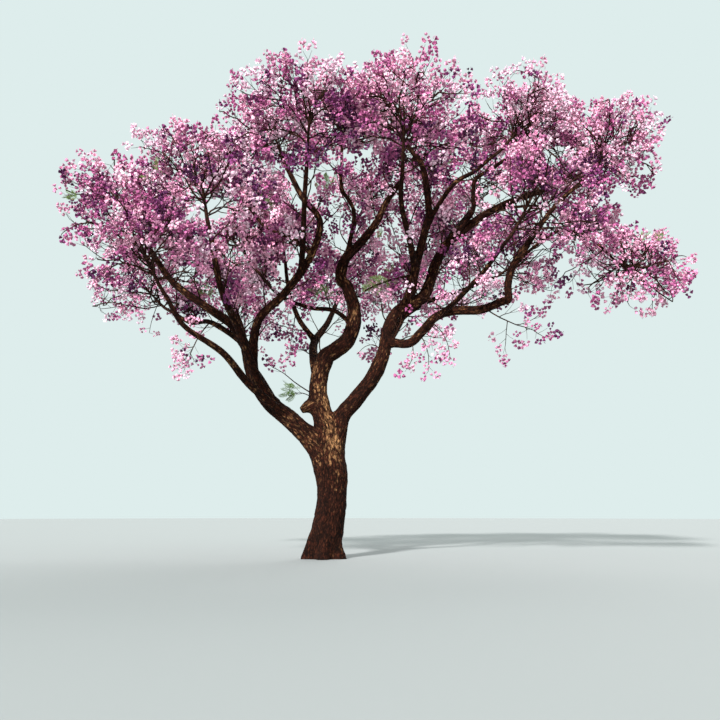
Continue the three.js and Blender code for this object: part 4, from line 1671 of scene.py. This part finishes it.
@dataclass(frozen=True)
class Finish:
    """A plain surface in one colour. Every finish has these: a name, a colour, a roughness and a gloss."""

    name: str
    colour: str
    roughness: float
    gloss: float = 0.5

    def drawn(self, tree: bpy.types.NodeTree) -> dict[str, Feed]:
        """Draws what the surface shows, as feeds of the shader's sockets."""
        return {"Base Color": linear(self.colour)}

    def build(self) -> bpy.types.Material:
        """Makes the material."""
        made = bpy.data.materials.new(self.name)
        made.use_nodes = True
        tree = made.node_tree
        tree.nodes.clear()
        feeds = {"Roughness": self.roughness, "Specular IOR Level": self.gloss, **self.drawn(tree)}
        shader = add_node(tree, "ShaderNodeBsdfPrincipled", feeds=feeds)
        add_node(tree, "ShaderNodeOutputMaterial", shader["BSDF"])
        return made


@dataclass(frozen=True)
class BarkFinish(Finish):
    """Living bark, cracked by growth: dry and matt, dark brown with rust and tan plates and darker cracks,
    with painted sunlight and painted shade on the trunk.
    """

    name: str = "bark_living_cracked"
    colour: str = "#3c1b11"
    roughness: float = 0.93
    gloss: float = 0.1  # its pores swallow most of the shine
    shade: str = "#1d0b06"
    rust: str = "#6a3a24"
    tan: str = "#b8875a"
    crack: str = "#0c0402"
    patch: float = 0.6  # the size of the lighter stretches, in metres
    uneven: float = 0.6  # the roughness of the noise that draws them and bends the cracks
    painted_shade_below: Span = (1.4, 3.4)  # painted shade on the lower trunk, where the crown shades it, and where it turns lighter
    painted_shade_by: Span = (-0.18, -0.04)  # how much darker the painted shade makes it, below and above
    strip_foot: Span = (0.42, 3.0)  # the lower end of the painted band of sunlight, in X and Z, in metres
    strip_slope: float = -0.235  # how far it moves in X for each metre up
    strip_width: float = 0.3
    strip_core: float = 0.3  # the share of its width that is palest
    strip_heights: tuple[float, float, float, float] = (1.7, 3.6, 5.3, 6.3)  # where it fades in and out
    strip_depth: Span = (0.2, -0.05)  # it lies on the front
    strip_gain: float = 0.3
    plate: Span = (44 * MM, 120 * MM)  # across and along, drawn coarser than life to show
    plate_weight: float = 0.5  # how far the plates differ in tone
    chip: Span = (14 * MM, 60 * MM)  # the flakes on a plate
    sway: Span = (0.12, 0.045)  # how closely and how far the cracks wander
    brown_tones: Span = (0.5, 0.8)  # from the darkest tone to the bark's own colour
    tan_tones: Span = (0.86, 1.12)  # from there to tan
    tan_most: float = 0.9
    rust_tones: Span = (0.6, 1.0)  # the flakes that turn to rust
    rust_most: float = 0.5
    plate_crack: Span = (0.14, 0.15)  # how wide it is in its cell, and how light at its middle
    chip_crack: Span = (0.12, 0.5)
    depth: float = 7 * MM
    strength: float = 0.8

    @staticmethod
    def cells(
        tree: bpy.types.NodeTree, grain: bpy.types.NodeSocket, size: Span,
    ) -> tuple[bpy.types.NodeSocket, bpy.types.NodeSocket]:
        """Draws cells that run along the limb.

        Args:
            tree: The material's nodes.
            grain: The place on the limb: across it, and along it.
            size: A cell's size across and along.

        Returns:
            Each cell's own random tone, and the distance from its edge.
        """
        scale = (1 / size[0], 1 / size[0], 1 / size[1])
        place = add_node(tree, "ShaderNodeMapping", grain, feeds={"Scale": scale})[0]
        inner, edge = (
            add_node(tree, "ShaderNodeTexVoronoi", place, feeds={"Scale": 1.0}, feature=feature)
            for feature in ("F1", "DISTANCE_TO_EDGE")
        )
        return add_node(tree, "ShaderNodeSeparateColor", inner["Color"])["Red"], edge["Distance"]

    def sunlit_strip(
        self, tree: bpy.types.NodeTree, across: bpy.types.NodeSocket, depth: bpy.types.NodeSocket,
        height: bpy.types.NodeSocket,
    ) -> bpy.types.NodeSocket:
        """Draws painted sunlight: a lit band up the right of the trunk's front.

        Args:
            tree: The material's nodes.
            across: The place in X.
            depth: The place in Y.
            height: The place in Z.

        Returns:
            How much lighter the painted sunlight makes the bark there.
        """
        add = partial(add_node, tree)
        foot_x, foot_z = self.strip_foot
        start = foot_x - self.strip_slope * foot_z
        middle = add(MATHS, height, self.strip_slope, start, operation="MULTIPLY_ADD")[0]
        aside = add(MATHS, across, middle, operation="SUBTRACT")[0]
        aside = add(MATHS, aside, operation="ABSOLUTE")[0]
        core = self.strip_core * self.strip_width
        lighter = add(RANGE, aside, self.strip_width, core, 0.0, self.strip_gain)[0]
        rise, risen, fall, fallen = self.strip_heights
        for value, *ends in ((height, rise, risen), (height, fallen, fall), (depth, *self.strip_depth)):
            lighter = add(MATHS, lighter, add(RANGE, value, *ends)[0], operation="MULTIPLY")[0]
        return lighter

    def drawn(self, tree: bpy.types.NodeTree) -> dict[str, Feed]:
        """Draws the plates, the flakes on them and the cracks between.

        Args:
            tree: The material's nodes.

        Returns:
            The feeds of the shader's sockets.
        """
        add = partial(add_node, tree)
        place = add("ShaderNodeTexCoord")["Object"]
        even = add("ShaderNodeAttribute", attribute_name="grain")["Vector"]
        relief = add("ShaderNodeAttribute", attribute_name="plate")["Fac"]
        bends, stretches = (
            add(NOISE, place, feeds={"Scale": 1 / size, "Detail": detail, "Roughness": self.uneven})
            for size, detail in ((self.sway[0], 5), (self.patch, 3))
        )
        sway = (self.sway[1],) * 3
        grain = add("ShaderNodeVectorMath", bends["Color"], sway, even, operation="MULTIPLY_ADD")[0]
        plate_tone, plate_edge = self.cells(tree, grain, self.plate)
        chip_tone, chip_edge = self.cells(tree, grain, self.chip)
        # How light each plate is: by its stretch of bark, the painted sunlight, the painted shade low on the
        # trunk, and its own tone
        across, depth, height = add("ShaderNodeSeparateXYZ", place)
        # painted sunlight: a lighter band where the sun falls on the trunk's right side
        sunlit_strip = self.sunlit_strip(tree, across, depth, height)
        light = add(MATHS, stretches["Fac"], sunlit_strip, operation="ADD")[0]
        # Painted shade: the trunk is drawn darker towards its foot, standing in for the crown's shadow
        darker = add(RANGE, height, *self.painted_shade_below, *self.painted_shade_by)[0]
        light = add(MATHS, light, darker, operation="ADD")[0]
        light = add(MATHS, plate_tone, self.plate_weight, light, operation="MULTIPLY_ADD")[0]
        # Its colour: the darkest tone, with each of the others laid over it by its own share
        colour: Feed = linear(self.shade)
        for value, tones, most, over in (
            (light, self.brown_tones, 1.0, self.colour),
            (light, self.tan_tones, self.tan_most, self.tan),
            (chip_tone, self.rust_tones, self.rust_most, self.rust),
        ):
            share = add(RANGE, value, *tones, 0.0, most)[0]
            colour = add(MIX, share, feeds={FIRST: colour, SECOND: linear(over)}, data_type="RGBA")[RESULT]
        # The cracks, darkest in the middle
        opened = [
            add(RANGE, edge, 0.0, width, least)[0]
            for edge, (width, least) in ((plate_edge, self.plate_crack), (chip_edge, self.chip_crack))
        ]
        height = add(MATHS, *opened, operation="MINIMUM")[0]
        share = add(MATHS, height, relief, operation="MULTIPLY")[0]
        ends = {FIRST: linear(self.crack), SECOND: colour}
        colour = add(MIX, share, feeds=ends, data_type="RGBA")[RESULT]
        pressed = {"Strength": self.strength, "Distance": self.depth, "Height": height}
        return {"Base Color": colour, "Normal": add("ShaderNodeBump", feeds=pressed)["Normal"]}


@dataclass(frozen=True)
class TwigFinish(Finish):
    """Thin young bark: smoother than the trunk's, dark brown with paler freckles."""

    name: str = "bark_young_smooth"
    colour: str = "#200d07"
    roughness: float = 0.88
    gloss: float = 0.15
    freckle: str = "#4e3022"
    freckle_size: float = 40 * MM
    freckle_tones: Span = (0.45, 0.75)
    depth: float = 2 * MM
    strength: float = 0.5

    def drawn(self, tree: bpy.types.NodeTree) -> dict[str, Feed]:
        """Draws the freckles, which also stand out a little."""
        add = partial(add_node, tree)
        place = add("ShaderNodeTexCoord")["Object"]
        spots = add(NOISE, place, feeds={"Scale": 1 / self.freckle_size, "Detail": 3})["Fac"]
        share = add(RANGE, spots, *self.freckle_tones)[0]
        ends = {FIRST: linear(self.colour), SECOND: linear(self.freckle)}
        colour = add(MIX, share, feeds=ends, data_type="RGBA")[RESULT]
        pressed = {"Strength": self.strength, "Distance": self.depth, "Height": spots}
        return {"Base Color": colour, "Normal": add("ShaderNodeBump", feeds=pressed)["Normal"]}


@dataclass(frozen=True)
class PetalFinish(Finish):
    """Thin living tissue, petal or leaf: soft and matt, in one colour that is mottled lighter and darker."""

    roughness: float = 0.62
    gloss: float = 0.2
    mottle: float = 0.16  # how far the colour strays
    mottle_size: float = 70 * MM
    mottle_tones: Span = (0.3, 0.7)
    lift: float = 0.02  # what the lighter parts have more, so that dark petals show them too

    def drawn(self, tree: bpy.types.NodeTree) -> dict[str, Feed]:
        """Draws the mottled colour."""
        add = partial(add_node, tree)
        place = add("ShaderNodeTexCoord")["Object"]
        spots = add(NOISE, place, feeds={"Scale": 1 / self.mottle_size, "Detail": 2})["Fac"]
        share = add(RANGE, spots, *self.mottle_tones)[0]
        *parts, alpha = linear(self.colour)
        dark = (*(part * (1 - self.mottle) for part in parts), alpha)
        light = (*(min(part * (1 + self.mottle) + self.lift, 1) for part in parts), alpha)
        return {"Base Color": add(MIX, share, feeds={FIRST: dark, SECOND: light}, data_type="RGBA")[RESULT]}


@dataclass
class Studio:
    """The camera at the photograph's angle, the pale floor and the soft light."""

    camera_place: Point = EYE
    pitch_deg: float = 10.4
    lens: float = 40.75
    sensor: float = 36.0
    farthest: float = 500.0  # what the camera still sees
    floor_radius: float = 120.0
    floor_sides: int = 96
    floor_finish: Finish = Finish("floor_matt_paint", "#8d908f", roughness=0.95)
    sky_colour: str = "#deedec"
    sky_strength: float = 1.0
    suns: tuple[tuple[float, float, Point], ...] = (
        (6.8, 5.0, (60.0, 6.0, -26.0)),
        (1.8, 40.0, (-48.0, 4.0, -20.0)),
    )  # each one's strength, spread and turn: the sun in front, and the bright sky behind

    def camera(self) -> None:
        """Sets the camera up."""
        data = bpy.data.cameras.new("camera")
        data.lens, data.sensor_width, data.clip_end = self.lens, self.sensor, self.farthest
        made = linked("camera", data)
        made.location = self.camera_place
        made.rotation_euler = (math.radians(90 + self.pitch_deg), 0, 0)
        bpy.context.scene.camera = made

    def floor(self) -> None:
        """Lays the floor."""
        bm = bmesh.new()
        bmesh.ops.create_circle(bm, cap_ends=True, segments=self.floor_sides, radius=self.floor_radius)
        made = linked("floor", mesh_of("floor", bm))
        made.data.materials.append(self.floor_finish.build())

    def light(self) -> None:
        """Lights the scene with a pale sky, a soft sun in front and a faint, broad one behind."""
        world = bpy.data.worlds.new("sky")
        bpy.context.scene.world = world
        world.use_nodes = True
        sky = world.node_tree.nodes["Background"]
        sky.inputs["Color"].default_value = linear(self.sky_colour)
        sky.inputs["Strength"].default_value = self.sky_strength
        bpy.context.scene.view_settings.view_transform = "Standard"
        for strength, spread, turn in self.suns:
            data = bpy.data.lights.new("sun", "SUN")
            data.energy, data.angle = strength, math.radians(spread)
            linked("sun", data).rotation_euler = [math.radians(part) for part in turn]


MAIN_WAYS = ("trunk", "bough_left", "bough_right", "stump_upright")


def report(made: bpy.types.Object) -> None:
    """Logs a finished piece and how many triangles it has."""
    sizes = read(made.data.polygons, "loop_total", 1, np.int32)
    log.info("%s: %d triangles", made.name, (sizes - 2).sum())


def main() -> None:
    """Builds the tree's pieces in order."""
    logging.basicConfig(level=logging.INFO, format="%(name)s %(relativeCreated)d ms: %(message)s")
    studio = Studio()
    studio.camera()
    limbs = grow_limbs(LIMBS)
    ways = find_ways(grow_limbs(LIMBS + STUMPS))
    bark = BarkFinish().build()
    main_ways = [ways[name] for name in MAIN_WAYS]
    side_ways = [way for name, way in ways.items() if name not in MAIN_WAYS]
    skins = (
        BarkSkin("bark_trunk_and_main_boughs", main_ways, Surface(main_ways), Relief(), voxel=0.0185),
        BarkSkin("bark_side_boughs", side_ways, Surface([*main_ways, *side_ways]), Relief(), voxel=0.029,
                 sides=12, buried=-0.05),
    )
    for skin in skins:
        report(skin.build(bark))
    crown = Crown(limbs)
    crown.grow()
    nodes = [mass.node for mass in crown.masses]
    young = TwigFinish().build()
    # Each piece's shoots, and how many sides their tubes have
    orders = (
        ("branches", [(crown.stems, 8), (crown.branches, 6), (crown.side_branches, 6), (crown.wisps, 6)]),
        ("shoots", [(crown.leafed, 4)]),
        ("twigs", [(crown.twiglets, 3)]),
    )
    for name, groups in orders:
        made = joined(name, together([thin_tubes(shoots, sides) for shoots, sides in groups]))
        smooth(made.data)
        dress(made, young, nodes)
        report(made)
    for tint, sprays in crown.dealt().items():
        made = Panicles().build(sprays, tint)
        dress(made, PetalFinish(f"petal_{tint.name.lower()}", tint.colour).build(), nodes)
        report(made)
    made = Leaves().build(crown.leaves)
    dress(made, PetalFinish("leaf_young", "#6d8a45", roughness=0.5).build(), nodes)
    report(made)
    log.info("%d sprays, %d leaves", len(crown.sprays), len(crown.leaves))
    studio.floor()
    studio.light()


if __name__ == "__main__":
    main()
